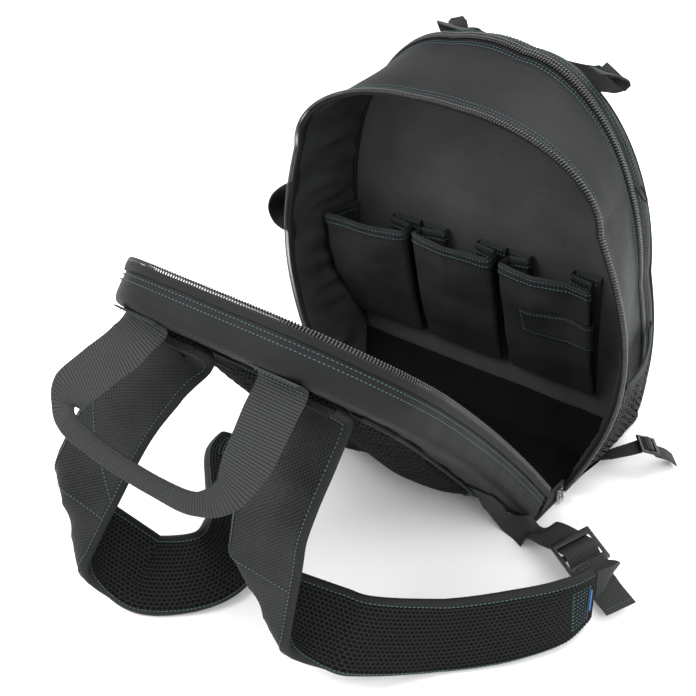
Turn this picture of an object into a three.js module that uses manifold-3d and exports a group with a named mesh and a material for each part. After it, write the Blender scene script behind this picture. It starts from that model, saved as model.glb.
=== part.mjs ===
// Tool backpack standing open: its back panel is unzipped and folded down on the shoulder straps.
// Millimetres, +Z up. X runs across the bag, Y from the rear opening to the front, and z = 0 is
// the floor. The origin is on the base's underside, below the middle of the rear opening's rim.
import * as THREE from "three";
import { mergeVertices } from "three/addons/utils/BufferGeometryUtils.js";
import Module from "manifold-3d";

const wasm = await Module();
wasm.setup();

// Cloth and clearances
const CLEARANCE = 0.4;
const WALL = 3;
const WEBBING = 1.8;
const WEBBING_END = 16;
const NET = 1.5;
const POCKET_CLOTH = 1.3;

// Base
const BASE_THICK = 8;
const BASE_CORNER = 26;
const BASE_ROUND = 3;
const FLOOR_TOP = BASE_THICK + CLEARANCE;

// Rear opening: an arch that bows out at the sides since the panel was folded down
const RIM = {
  half: 159, height: 395, bowLeft: 40, bowRight: 51, cornerX: 148, cornerZ: 86, crown: 1, lean: 2.4,
};
// Line of the front zip
const FRONT = {
  half: 165, height: 422, bowLeft: 17, bowRight: 13, cornerX: 131, cornerZ: 218, crown: 6, lean: 6.2,
};
const BODY_DEPTH = 123;
const FRONT_DEPTH = 56;
const REAR_ZIP_WIDTH = 8;
const FRONT_ZIP_WIDTH = 10;
const ZIP_THICK = 4;
const ARCH_STEPS = 44;

// Divider between the main space and the front compartment
const DIVIDER_Y = 98;
const DIVIDER_LEAN = 4.9;
const DIVIDER_WALL = 3;

// Back panel: a padded tray hinged along the rear of the base
const PANEL = { half: 159, height: 433, cornerX: 96, cornerZ: 126, hingeY: -28.5, hingeZ: 22.4 };
const PANEL_TILT_LOW = 36.3;
const PANEL_TILT_HIGH = 46.4;
const PANEL_BAND = 38;
const PANEL_FACE = 8;
const PANEL_BASE_CORNER = 14;
const PANEL_STEPS = 52;

// Back pads of ribbed spacer mesh on the panel's outer face
const PAD = { inner: 10, outer: 112, low: 22, high: 322, rise: 22, edge: 3 };

// Tool pockets on the divider
const POCKET_LOW = 72;
const POCKET_HIGH = 219;
const POCKET_DEPTH = 36;

// Straps
const HANDLE_WIDTH = 50;
const HANDLE_DROP = 106;
const STRAP_SPACING = 150;
const STRAP_WIDTH = 72;
const STRAP_THICK = 12;
const LOWER_WEBBING_WIDTH = 38;

const rad = THREE.MathUtils.degToRad;
const v3 = (x, y, z) => new THREE.Vector3(x, y, z);

// Closed faceted body from vertex positions and faces, welded and turned to face out.
function bodyFrom(corners, faces) {
  const keys = new Map();
  const points = [];
  const indexOf = (p) => {
    const key = [p.x, p.y, p.z].map((c) => Math.round(c * 1e4)).join(" ");
    if (!keys.has(key)) {
      keys.set(key, points.length);
      points.push(p);
    }
    return keys.get(key);
  };
  const ids = corners.map(indexOf);
  const index = [];
  for (const [a, b, c] of faces) {
    const [i, j, k] = [ids[a], ids[b], ids[c]];
    if (i !== j && j !== k && k !== i) {
      index.push(i, j, k);
    }
  }
  let volume = 0;
  for (let i = 0; i < index.length; i += 3) {
    const [a, b, c] = [points[index[i]], points[index[i + 1]], points[index[i + 2]]];
    volume += a.dot(b.clone().cross(c));
  }
  if (volume < 0) {
    index.reverse();
  }
  const geometry = new THREE.BufferGeometry();
  const flat = points.flatMap((p) => p.toArray());
  geometry.setAttribute("position", new THREE.Float32BufferAttribute(flat, 3));
  geometry.setIndex(index);
  return geometry;
}

// Two triangles for each cell of a grid whose rows start at offset.
function gridFaces(offset, rows, columns, closed, flip) {
  const faces = [];
  const count = closed ? columns : columns - 1;
  for (let r = 0; r < rows - 1; r += 1) {
    for (let c = 0; c < count; c += 1) {
      const a = offset + r * columns + c;
      const b = offset + r * columns + ((c + 1) % columns);
      const quad = [a, b, b + columns, a + columns];
      const [p, q, s, t] = flip ? [...quad].reverse() : quad;
      faces.push([p, q, s], [p, s, t]);
    }
  }
  return faces;
}

// Wall between an outer and an inner grid of rows, closed along all four edges.
function wall(outer, inner) {
  const rows = outer.length;
  const columns = outer[0].length;
  const corners = [...outer.flat(), ...inner.flat()];
  const shift = rows * columns;
  const faces = [
    ...gridFaces(0, rows, columns, false, false),
    ...gridFaces(shift, rows, columns, false, true),
  ];
  const strip = (ids) => {
    for (let i = 0; i < ids.length - 1; i += 1) {
      const [a, b] = [ids[i], ids[i + 1]];
      faces.push([b, a, a + shift], [b, a + shift, b + shift]);
    }
  };
  const row = (r) => Array.from({ length: columns }, (_, c) => r * columns + c);
  const column = (c) => Array.from({ length: rows }, (_, r) => r * columns + c);
  strip(row(0));
  strip(row(rows - 1).reverse());
  strip(column(columns - 1));
  strip(column(0).reverse());
  return bodyFrom(corners, faces);
}

// Body lofted through closed loops, with its two ends closed by fans.
function loft(loops) {
  const columns = loops[0].length;
  const corners = loops.flat();
  const faces = gridFaces(0, loops.length, columns, true, false);
  const cap = (start, loop, flip) => {
    const centre = loop.reduce((sum, p) => sum.add(p), v3(0, 0, 0)).divideScalar(columns);
    corners.push(centre);
    const middle = corners.length - 1;
    for (let c = 0; c < columns; c += 1) {
      const [a, b] = [start + c, start + ((c + 1) % columns)];
      faces.push(flip ? [a, b, middle] : [b, a, middle]);
    }
  };
  cap(0, loops[0], false);
  cap((loops.length - 1) * columns, loops[loops.length - 1], true);
  return bodyFrom(corners, faces);
}

// Shares from 0 to 1 in equal steps.
const shares = (steps) => Array.from({ length: steps + 1 }, (_, i) => i / steps);

// Piecewise straight reading of one column of a table whose rows are sorted by "at".
function read(table, column, at) {
  const next = Math.max(1, table.findIndex((row) => row.at >= at));
  const [a, b] = [table[next - 1], table[next]];
  return THREE.MathUtils.lerp(a[column], b[column], (at - a.at) / (b.at - a.at));
}

// Open arch in the XZ plane from left foot to right foot, as points evenly spaced along it.
function archPoints(arch, steps, bottom) {
  const straight = arch.height - arch.cornerZ;
  const shoulderShare = 0.9;
  const bow = (v, side) => side * Math.sin((Math.PI * v * shoulderShare) / straight);
  const half = (v, side) => arch.half + bow(v, side);
  const points = [];
  const fine = 40;
  const side = (sign, amount) => shares(fine).map((s) => {
    const v = s * straight;
    return new THREE.Vector2(sign * half(v, amount), bottom + v);
  });
  const corner = (sign, amount) => shares(fine).slice(1).map((s) => {
    const angle = (s * Math.PI) / 2;
    const centre = half(straight, amount) - arch.cornerX;
    const x = centre + arch.cornerX * Math.cos(angle);
    return new THREE.Vector2(sign * x, bottom + straight + arch.cornerZ * Math.sin(angle));
  });
  points.push(...side(-1, arch.bowLeft), ...corner(-1, arch.bowLeft));
  const leftEnd = points[points.length - 1].x;
  const rightHalf = [...side(1, arch.bowRight), ...corner(1, arch.bowRight)].reverse();
  const rightEnd = rightHalf[0].x;
  for (const s of shares(fine / 4).slice(1, -1)) {
    const rise = arch.crown * 4 * s * (1 - s);
    const x = THREE.MathUtils.lerp(leftEnd, rightEnd, s);
    points.push(new THREE.Vector2(x, bottom + arch.height + rise));
  }
  points.push(...rightHalf);
  return evenPoints(points, steps);
}

// Resamples a line of 2-D points evenly along its length.
function evenPoints(points, steps) {
  const reach = [0];
  for (let i = 1; i < points.length; i += 1) {
    reach.push(reach[i - 1] + points[i].distanceTo(points[i - 1]));
  }
  const total = reach[reach.length - 1];
  return shares(steps).map((s) => {
    const want = s * total;
    const i = Math.min(points.length - 1, Math.max(1, reach.findIndex((r) => r >= want - 1e-9)));
    return points[i - 1].clone().lerp(points[i], (want - reach[i - 1]) / (reach[i] - reach[i - 1]));
  });
}

const RIM_ARCH = archPoints(RIM, ARCH_STEPS, FLOOR_TOP);
const FRONT_ARCH = archPoints(FRONT, ARCH_STEPS, FLOOR_TOP);

// Unit outward direction of an arch at point i, in the XZ plane.
function archNormal(points, i) {
  const a = points[Math.max(0, i - 1)];
  const b = points[Math.min(points.length - 1, i + 1)];
  return new THREE.Vector2(a.y - b.y, b.x - a.x).normalize();
}

// Point of the bag's side surface: arch step i, depth measured from the rim at the base, and
// how far it lies inside the surface.
function sidePoint(i, depth, inset) {
  const share = depth / BODY_DEPTH;
  const flat = RIM_ARCH[i].clone().lerp(FRONT_ARCH[i], share);
  const normal = archNormal(RIM_ARCH, i).lerp(archNormal(FRONT_ARCH, i), share).normalize();
  flat.addScaledVector(normal, -inset);
  const lean = THREE.MathUtils.lerp(Math.tan(rad(RIM.lean)), Math.tan(rad(FRONT.lean)), share);
  return v3(flat.x, depth - (flat.y - FLOOR_TOP) * lean, flat.y);
}

// Band of the side surface between two depths and two insets.
function sideBand(from, to, outside, inside, rows) {
  const steps = RIM_ARCH.map((_, i) => i);
  const depths = shares(rows).map((s) => THREE.MathUtils.lerp(from, to, s));
  const grid = (inset) => depths.map((depth) => steps.map((i) => sidePoint(i, depth, inset)));
  return wall(grid(outside), grid(inside));
}

function makeMainShell() {
  const rows = 4;
  const from = REAR_ZIP_WIDTH + CLEARANCE;
  const to = BODY_DEPTH - FRONT_ZIP_WIDTH / 2 - CLEARANCE;
  return sideBand(from, to, 0, WALL, rows);
}

function makeRearZip() {
  const proud = (ZIP_THICK - WALL) / 2;
  return sideBand(0, REAR_ZIP_WIDTH, -proud, WALL + proud, 1);
}

function makeFrontZip() {
  const half = FRONT_ZIP_WIDTH / 2;
  return sideBand(BODY_DEPTH - half, BODY_DEPTH + half, WALL - ZIP_THICK, WALL, 1);
}

// Front compartment: the band past the zip, then a crowned face. deep is a share of
// FRONT_DEPTH, and size a share of the front arch about the middle of its foot line.
const FRONT_ROWS = [
  { deep: 0.0, size: 1.0 },
  { deep: 0.36, size: 0.998 },
  { deep: 0.58, size: 0.976 },
  { deep: 0.76, size: 0.935 },
  { deep: 0.9, size: 0.865 },
  { deep: 0.98, size: 0.73 },
  { deep: 1.02, size: 0.5 },
  { deep: 1.03, size: 0.25 },
  { deep: 1.03, size: 0.0 },
];

function makeFrontShell() {
  const start = BODY_DEPTH + FRONT_ZIP_WIDTH / 2 + CLEARANCE;
  const lean = Math.tan(rad(FRONT.lean));
  const place = (row, inset, i) => {
    const normal = archNormal(FRONT_ARCH, i);
    const share = row.size;
    const point = FRONT_ARCH[i].clone().addScaledVector(normal, -inset * share);
    const x = point.x * share;
    const z = FLOOR_TOP + (point.y - FLOOR_TOP) * share;
    const reach = FRONT_DEPTH - (start - BODY_DEPTH);
    const back = inset * (1 - share ** 4);
    return v3(x, start + row.deep * reach - back - (z - FLOOR_TOP) * lean, z);
  };
  const grid = (inset) => FRONT_ROWS.map((row) => FRONT_ARCH.map((_, i) => place(row, inset, i)));
  return wall(grid(0), grid(WALL));
}

// Base: a stiffened floor whose rear edge is cut to lie under the folded panel.
function makeBase() {
  const rearLow = PANEL.hingeY - PANEL_BAND * Math.cos(rad(PANEL_TILT_LOW));
  const slope = 1 / Math.tan(rad(PANEL_TILT_LOW));
  const front = BODY_DEPTH + FRONT_DEPTH * FRONT_ROWS[6].deep;
  const loop = (z, inset) => {
    const rear = rearLow + z * slope + 2 * CLEARANCE;
    const half = RIM.half - inset;
    const far = FRONT.half - inset;
    const points = [v3(-half, rear, z), v3(half, rear, z)];
    const bend = shares(5);
    for (const s of bend) {
      const a = (s * Math.PI) / 2;
      points.push(v3(
        far - BASE_CORNER + BASE_CORNER * Math.cos(a),
        front - inset - BASE_CORNER + BASE_CORNER * Math.sin(a),
        z,
      ));
    }
    for (const s of bend) {
      const a = ((1 - s) * Math.PI) / 2;
      points.push(v3(
        -far + BASE_CORNER - BASE_CORNER * Math.cos(a),
        front - inset - BASE_CORNER + BASE_CORNER * Math.sin(a),
        z,
      ));
    }
    return points;
  };
  return loft([loop(0, BASE_ROUND), loop(BASE_ROUND, 0), loop(BASE_THICK, 0)]);
}

const dividerY = (z) => DIVIDER_Y - z * Math.tan(rad(DIVIDER_LEAN));

// Divider: a flat arch that fills the main shell at its depth. back is the distance behind its
// rear face.
function dividerEdge(back) {
  const inset = WALL + 2 * CLEARANCE;
  return RIM_ARCH.map((_, i) => {
    const low = sidePoint(i, 0, inset);
    const high = sidePoint(i, BODY_DEPTH, inset);
    const middle = (low.z + high.z) / 2;
    const share = (dividerY(middle) + back - low.y) / (high.y - low.y);
    const point = low.lerp(high, share);
    return v3(point.x, dividerY(point.z) + back, point.z);
  });
}

function makeDivider() {
  const foot = FLOOR_TOP + CLEARANCE;
  const grid = (back) => shares(3).map((s) => dividerEdge(back).map((p) => {
    const z = foot + Math.max(0, p.z - foot) * (1 - s);
    return v3(p.x * (1 - s), dividerY(z) + back, z);
  }));
  return wall(grid(0), grid(DIVIDER_WALL));
}

// Back panel: across, along its face from the hinge, and out of its zip plane.
function panelAngle(along) {
  return rad(THREE.MathUtils.lerp(PANEL_TILT_LOW, PANEL_TILT_HIGH, along / PANEL.height));
}

function panelPoint(x, along, out) {
  const low = rad(PANEL_TILT_LOW);
  const angle = panelAngle(along);
  const radius = PANEL.height / rad(PANEL_TILT_HIGH - PANEL_TILT_LOW);
  const y = PANEL.hingeY - radius * (Math.cos(low) - Math.cos(angle));
  const z = PANEL.hingeZ + radius * (Math.sin(angle) - Math.sin(low));
  return v3(x, y - out * Math.cos(angle), z - out * Math.sin(angle));
}

// Directions of the panel at a point along it: up its face, and out of its outer side.
function panelAxes(along) {
  const angle = panelAngle(along);
  const up = v3(0, -Math.sin(angle), Math.cos(angle));
  const out = v3(0, -Math.cos(angle), -Math.sin(angle));
  return { up, out };
}

function panelOutline() {
  const points = [];
  const quarter = shares(12);
  const turn = (cx, cy, rx, ry, from) => {
    for (const s of quarter) {
      const a = from + (s * Math.PI) / 2;
      points.push(new THREE.Vector2(cx + rx * Math.cos(a), cy + ry * Math.sin(a)));
    }
  };
  const { half, height, cornerX, cornerZ } = PANEL;
  const foot = PANEL_BASE_CORNER;
  points.push(new THREE.Vector2(0, 0));
  turn(half - foot, foot, foot, foot, -Math.PI / 2);
  turn(half - cornerX, height - cornerZ, cornerX, cornerZ, 0);
  turn(-half + cornerX, height - cornerZ, cornerX, cornerZ, Math.PI / 2);
  turn(-half + foot, foot, foot, foot, Math.PI);
  points.push(new THREE.Vector2(0, 0));
  return evenPoints(points, PANEL_STEPS).slice(0, -1);
}

const PANEL_LOOP = panelOutline();

// Loop of the panel's outline, inset about its middle, at a distance out of the zip plane.
function panelRing(out, inset) {
  const middle = PANEL.height / 2;
  return PANEL_LOOP.map((p) => {
    const x = p.x * (1 - inset / PANEL.half);
    const along = middle + (p.y - middle) * (1 - inset / middle);
    return panelPoint(x, along, out);
  });
}

// Panel sections: out is a share of PANEL_BAND, inset a share of PANEL.half.
const PANEL_SECTIONS = [
  { out: 1.0, inset: 1.0 },
  { out: 1.0, inset: 0.78 },
  { out: 1.0, inset: 0.55 },
  { out: 1.0, inset: 0.32 },
  { out: 1.0, inset: 0.09 },
  { out: 0.96, inset: 0.035 },
  { out: 0.84, inset: 0.006 },
  { out: 0.5, inset: -0.004 },
  { out: 0.18, inset: 0.0 },
];

function makeBackPanel() {
  const outer = PANEL_SECTIONS.map((s) => panelRing(s.out * PANEL_BAND, s.inset * PANEL.half));
  const bottom = PANEL_BAND - PANEL_FACE;
  const lip = PANEL_SECTIONS[PANEL_SECTIONS.length - 1].out * PANEL_BAND;
  const inner = [
    panelRing(lip, WALL),
    panelRing(bottom * 0.8, WALL),
    panelRing(bottom, WALL * 3),
    panelRing(bottom, PANEL.half * 0.55),
    panelRing(bottom, PANEL.half),
  ];
  return loft([...outer, ...inner]);
}

// Zip tape and coil on the panel's lip, round its sides and top but not its hinge edge.
function makePanelZip() {
  const lip = PANEL_SECTIONS[PANEL_SECTIONS.length - 1].out * PANEL_BAND;
  const foot = PANEL.hingeZ * 0.7;
  const kept = PANEL_LOOP.map((p, i) => ({ p, i })).filter(({ p }) => p.y > foot);
  const middle = PANEL.height / 2;
  const line = (out, inset) => kept.map(({ p }) => {
    const x = p.x * (1 - inset / PANEL.half);
    return panelPoint(x, middle + (p.y - middle) * (1 - inset / middle), out);
  });
  const proud = (ZIP_THICK - WALL) / 2;
  const grid = (inset) => [line(lip - CLEARANCE, inset), line(0, inset)];
  return wall(grid(-proud), grid(WALL + proud));
}

// Triangular hinge gusset that closes the corner between base, rim and panel.
const GUSSET_REAR_HEIGHT = 12;

function makeHingeGusset(side) {
  const inner = side * (RIM.half - WALL);
  const outer = side * (RIM.half - CLEARANCE / 2);
  const slope = 1 / Math.tan(rad(PANEL_TILT_LOW));
  const lowRear = PANEL.hingeY + (FLOOR_TOP - PANEL.hingeZ) * slope + 3 * CLEARANCE;
  const corner = (x) => [
    v3(x, -CLEARANCE, FLOOR_TOP),
    v3(x, -CLEARANCE, FLOOR_TOP + GUSSET_REAR_HEIGHT),
    v3(x, PANEL.hingeY + 4 * CLEARANCE, PANEL.hingeZ),
    v3(x, lowRear, FLOOR_TOP),
  ];
  return loft([corner(inner), corner(outer)]);
}

// One back pad: a crowned cushion on the panel's outer face. inner, outer and rise are shares of
// the pad's width and rise, and at is a share of its length.
const PAD_EDGES = [
  { at: 0, inner: 0.2, outer: 0.75 },
  { at: 0.12, inner: 0.03, outer: 0.93 },
  { at: 0.5, inner: 0.0, outer: 0.92 },
  { at: 0.85, inner: 0.0, outer: 1.0 },
  { at: 1, inner: 0.12, outer: 0.9 },
];
const PAD_SWELL = [
  { at: 0, rise: 0.0 },
  { at: 0.12, rise: 0.55 },
  { at: 0.35, rise: 1.0 },
  { at: 0.7, rise: 0.75 },
  { at: 1, rise: 0.0 },
];
const PAD_CROWN_POWER = 0.6;

function makeBackPad(side) {
  const seat = PANEL_BAND + CLEARANCE;
  const across = shares(7);
  const along = shares(9);
  const grid = (top) => along.map((v) => across.map((u) => {
    const width = PAD.outer - PAD.inner;
    const low = PAD.inner + read(PAD_EDGES, "inner", v) * width;
    const high = PAD.inner + read(PAD_EDGES, "outer", v) * width;
    const crown = Math.sin(Math.PI * u) ** PAD_CROWN_POWER * read(PAD_SWELL, "rise", v) * PAD.rise;
    const out = top ? seat + PAD.edge + crown : seat;
    const x = side * THREE.MathUtils.lerp(low, high, u);
    return panelPoint(x, THREE.MathUtils.lerp(PAD.low, PAD.high, v), out);
  }));
  return wall(grid(true), grid(false));
}

// Tool pockets: strips that leave the divider, run out and back in pleats. x is a share of the
// width between the pocket row's ends, and out a share of POCKET_DEPTH.
const POCKET_ROW = { left: -164, right: 142 };
const POCKETS = {
  pocket_left: [
    { x: 0.0, out: 0.0 },
    { x: -0.02, out: 0.55 },
    { x: -0.03, out: 1.4 },
    { x: 0.11, out: 1.3 },
    { x: 0.275, out: 0.95 },
    { x: 0.265, out: 0.45 },
    { x: 0.17, out: 0.28 },
    { x: 0.17, out: 0.0 },
    { x: 0.285, out: 0.0 },
  ],
  pocket_centre: [
    { x: 0.295, out: 0.0 },
    { x: 0.4, out: 0.0 },
    { x: 0.4, out: 0.28 },
    { x: 0.315, out: 0.4 },
    { x: 0.31, out: 0.82 },
    { x: 0.45, out: 1.0 },
    { x: 0.62, out: 0.8 },
    { x: 0.615, out: 0.4 },
    { x: 0.53, out: 0.28 },
    { x: 0.53, out: 0.0 },
    { x: 0.64, out: 0.0 },
  ],
  pocket_right: [
    { x: 0.65, out: 0.0 },
    { x: 0.74, out: 0.0 },
    { x: 0.74, out: 0.28 },
    { x: 0.675, out: 0.4 },
    { x: 0.67, out: 0.82 },
    { x: 0.8, out: 0.95 },
    { x: 0.92, out: 0.7 },
    { x: 1.0, out: 0.82 },
    { x: 0.985, out: 0.42 },
    { x: 0.9, out: 0.28 },
    { x: 0.9, out: 0.0 },
    { x: 1.0, out: 0.0 },
  ],
};

// How far a pocket stands out at each share of its height.
const POCKET_SQUEEZE = [
  { at: 0, out: 0.17 },
  { at: 0.35, out: 0.62 },
  { at: 0.75, out: 0.93 },
  { at: 1, out: 1 },
];

// Grid of a pocket's cloth at some heights, set back towards the divider by an amount.
function pocketGrid(rows, heights, amount) {
  const width = POCKET_ROW.right - POCKET_ROW.left;
  const flat = rows.map((row) => {
    return new THREE.Vector2(POCKET_ROW.left + row.x * width, -row.out * POCKET_DEPTH);
  });
  const sharpest = 0.6;
  const offset = (i) => {
    const before = flat[Math.max(0, i - 1)];
    const after = flat[Math.min(flat.length - 1, i + 1)];
    const first = flat[i].clone().sub(before).normalize();
    const second = after.clone().sub(flat[i]).normalize();
    const along = first.clone().add(second).normalize();
    const bend = Math.max(sharpest, along.dot(second.lengthSq() > 0 ? second : first));
    return new THREE.Vector2(-along.y, along.x).multiplyScalar(amount / bend);
  };
  return heights.map((h) => flat.map((p, i) => {
    const moved = p.clone().add(offset(i));
    const z = THREE.MathUtils.lerp(POCKET_LOW, POCKET_HIGH, h);
    const seat = dividerY(z) - CLEARANCE - POCKET_CLOTH;
    return v3(moved.x, seat + moved.y * read(POCKET_SQUEEZE, "out", h), z);
  }));
}

function makePocket(rows) {
  const heights = POCKET_SQUEEZE.map((row) => row.at);
  return wall(pocketGrid(rows, heights, 0), pocketGrid(rows, heights, POCKET_CLOTH));
}

// Small flat pocket sewn on the front of the right tool pocket.
const PATCH = { low: 0.47, high: 0.7, first: 4, last: 6, seat: 1.3 };

function makePatchPocket() {
  const heights = [PATCH.low, PATCH.high];
  const cut = (grid) => grid.map((row) => row.slice(PATCH.first, PATCH.last + 1));
  const far = pocketGrid(POCKETS.pocket_right, heights, -PATCH.seat - POCKET_CLOTH);
  const near = pocketGrid(POCKETS.pocket_right, heights, -PATCH.seat);
  return wall(cut(far), cut(near));
}

// Smooth line of stations, each with a centre and the direction of the band's width.
function bandFrames(stations, perSpan) {
  const centres = stations.map((s) => s.centre);
  const curve = new THREE.CatmullRomCurve3(centres, false, "centripetal");
  const spans = stations.length - 1;
  const frames = [];
  for (let i = 0; i <= spans * perSpan; i += 1) {
    const t = i / (spans * perSpan);
    const k = Math.min(spans - 1, Math.floor(t * spans + 1e-9));
    const local = t * spans - k;
    const wide = stations[k].wide.clone().lerp(stations[k + 1].wide, local);
    const centre = curve.getPoint(t);
    const tangent = curve.getTangent(t);
    wide.addScaledVector(tangent, -wide.dot(tangent)).normalize();
    const width = THREE.MathUtils.lerp(stations[k].width, stations[k + 1].width, local);
    frames.push({ centre, wide, face: tangent.clone().cross(wide).normalize(), width });
  }
  return frames;
}

// Section of a padded strap: flat on both faces and thin at its bound edges.
const STRAP_FLATS = [-0.86, -0.43, 0, 0.43, 0.86];
const STRAP_SECTION = [
  ...STRAP_FLATS.map((across) => ({ across, up: -0.5 })),
  { across: 1, up: -0.22 },
  { across: 1, up: 0.22 },
  ...[...STRAP_FLATS].reverse().map((across) => ({ across, up: 0.5 })),
  { across: -1, up: 0.22 },
  { across: -1, up: -0.22 },
];
const FLAT_SECTION = [
  { across: -1, up: -0.5 },
  { across: 1, up: -0.5 },
  { across: 1, up: 0.5 },
  { across: -1, up: 0.5 },
];

// One loop of a section at a frame.
function sectionLoop(frame, section, thick) {
  return section.map((s) => frame.centre.clone()
    .addScaledVector(frame.wide, (s.across * frame.width) / 2)
    .addScaledVector(frame.face, s.up * thick));
}

function band(stations, section, thick, perSpan) {
  return loft(bandFrames(stations, perSpan).map((f) => sectionLoop(f, section, thick)));
}

// Stations from a table: x, y and z are places, wx, wy and wz the width's direction.
function stationsFrom(rows, width) {
  return rows.map((r) => ({
    centre: v3(r.x, r.y, r.z),
    wide: v3(r.wx, r.wy, r.wz).normalize(),
    width: width * (r.width ?? 1),
  }));
}

// Root of a strap or handle leg, lying on the panel's outer face.
function panelStation(x, along, thick, lift, width) {
  const centre = panelPoint(x, along, PANEL_BAND + CLEARANCE + thick / 2 + lift);
  return { centre, wide: v3(1, 0, 0), width };
}

// Hanging part of each strap, below its root. x and y are shares of PANEL.height, z of STRAP_WIDTH.
const STRAP_HANG = {
  right: [
    { x: 0.178, y: -0.723, z: 3.22, wx: 1, wy: 0, wz: 0 },
    { x: 0.174, y: -0.78, z: 2.8, wx: 1, wy: 0.02, wz: 0 },
    { x: 0.163, y: -0.808, z: 2.4, wx: 1, wy: 0.05, wz: 0.03 },
    { x: 0.158, y: -0.822, z: 2.01, wx: 1, wy: 0.06, wz: 0.03 },
  ],
  left: [
    { x: -0.205, y: -0.72, z: 3.25, wx: 1, wy: 0, wz: -0.1 },
    { x: -0.244, y: -0.77, z: 2.88, wx: 0.96, wy: 0.1, wz: -0.2 },
    { x: -0.27, y: -0.816, z: 2.48, wx: 0.95, wy: 0.2, wz: -0.12 },
    { x: -0.288, y: -0.852, z: 2.1, wx: 0.95, wy: 0.24, wz: -0.08 },
  ],
};

// Fold of each strap: the line it folds on is turned by slant from the strap's run.
const STRAP_FOLD = {
  right: { slant: 45, turn: 150, radius: 16 },
  left: { slant: 42, turn: 150, radius: 16 },
};

const STRAP_FOLD_ROWS = 14;

// Lying part of each strap, past its fold.
const STRAP_LIE = {
  right: [
    { x: 0.42, y: -0.612, z: 0.52, wx: 0.1, wy: -0.2, wz: -0.97 },
    { x: 0.522, y: -0.505, z: 0.52, wx: 0.08, wy: -0.2, wz: -0.97 },
    { x: 0.588, y: -0.405, z: 0.52, wx: 0.05, wy: -0.15, wz: -0.98, width: 0.96 },
    { x: 0.604, y: -0.33, z: 0.5, wx: 0, wy: -0.1, wz: -1, width: 0.84 },
  ],
  left: [
    { x: -0.1, y: -0.755, z: 0.5, wx: 0.4, wy: -0.2, wz: -0.85 },
    { x: -0.108, y: -0.66, z: 0.44, wx: 0.7, wy: 0.2, wz: -0.6 },
    { x: -0.17, y: -0.56, z: 0.33, wx: 0.86, wy: 0.36, wz: -0.4 },
    { x: -0.25, y: -0.48, z: 0.28, wx: 0.85, wy: 0.48, wz: -0.28 },
    { x: -0.335, y: -0.395, z: 0.26, wx: 0.82, wy: 0.52, wz: -0.25, width: 0.96 },
    { x: -0.362, y: -0.335, z: 0.25, wx: 0.9, wy: 0.42, wz: -0.2, width: 0.84 },
  ],
};

const strapPlace = (row) => ({
  ...row, x: row.x * PANEL.height, y: row.y * PANEL.height, z: row.z * STRAP_WIDTH,
});

const STRAP_ROOT = 352;
const HANDLE_ROOT = 410;

// Loops of a flat strap folded over a cylinder on a slanted line, mesh side inside. Each point
// keeps its distance from that line, so the folded strap isn't stretched.
function foldStrap(start, fold, rows) {
  const slant = rad(fold.slant);
  const turn = rad(fold.turn);
  const half = start.width / 2;
  const lead = half / Math.tan(slant);
  const { tangent, wide, face } = start;
  const origin = start.centre.clone().addScaledVector(tangent, lead);
  const axis = tangent.clone().multiplyScalar(Math.cos(slant)).addScaledVector(wide, Math.sin(slant));
  const cross = tangent.clone().multiplyScalar(Math.sin(slant)).addScaledVector(wide, -Math.cos(slant));
  const place = (s, u, n) => {
    const p = s * Math.cos(slant) + u * Math.sin(slant);
    const q = s * Math.sin(slant) - u * Math.cos(slant);
    const angle = THREE.MathUtils.clamp(q / fold.radius, 0, turn);
    const past = q - angle * fold.radius;
    return origin.clone()
      .addScaledVector(axis, p)
      .addScaledVector(face, -fold.radius)
      .addScaledVector(cross, (fold.radius + n) * Math.sin(angle) + past * Math.cos(angle))
      .addScaledVector(face, (fold.radius + n) * Math.cos(angle) - past * Math.sin(angle));
  };
  const end = lead + (turn * fold.radius) / Math.sin(slant);
  const loops = shares(rows).slice(1).map((share) => {
    const s = THREE.MathUtils.lerp(-lead, end, share);
    return STRAP_SECTION.map((c) => place(s, c.across * half, c.up * STRAP_THICK));
  });
  const centre = place(end, 0, 0);
  const ahead = place(end + 1, 0, 0).sub(centre).normalize();
  const aside = place(end, half, 0).sub(centre).normalize();
  return { loops, centre, tangent: ahead, wide: aside };
}

// Sewn root of a strap: distance above STRAP_ROOT, lift off the panel and share of the width.
const STRAP_ROOT_ROWS = [
  { above: 26, lift: 0.1, width: 0.9 },
  { above: 13, lift: 0.9, width: 1 },
  { above: 0, lift: 4, width: 1 },
];
const STRAP_EXIT = 14;

function makeStrap(word) {
  const x = ((word === "right" ? 1 : -1) * STRAP_SPACING) / 2;
  const root = STRAP_ROOT_ROWS.map((row) => {
    return panelStation(x, STRAP_ROOT + row.above, STRAP_THICK, row.lift, STRAP_WIDTH * row.width);
  });
  const hang = [...root, ...stationsFrom(STRAP_HANG[word].map(strapPlace), STRAP_WIDTH)];
  const perSpan = 2;
  const frames = bandFrames(hang, perSpan);
  const last = frames[frames.length - 1];
  const tangent = last.wide.clone().cross(last.face);
  const fold = foldStrap({ ...last, tangent }, STRAP_FOLD[word], STRAP_FOLD_ROWS);
  const exit = [0, STRAP_EXIT].map((ahead) => ({
    centre: fold.centre.clone().addScaledVector(fold.tangent, ahead),
    wide: fold.wide,
    width: STRAP_WIDTH,
  }));
  const lie = [...exit, ...stationsFrom(STRAP_LIE[word].map(strapPlace), STRAP_WIDTH)];
  const rest = bandFrames(lie, perSpan).slice(1);
  const loops = (list) => list.map((f) => sectionLoop(f, STRAP_SECTION, STRAP_THICK));
  return loft([...loops(frames), ...fold.loops, ...loops(rest)]);
}

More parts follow.
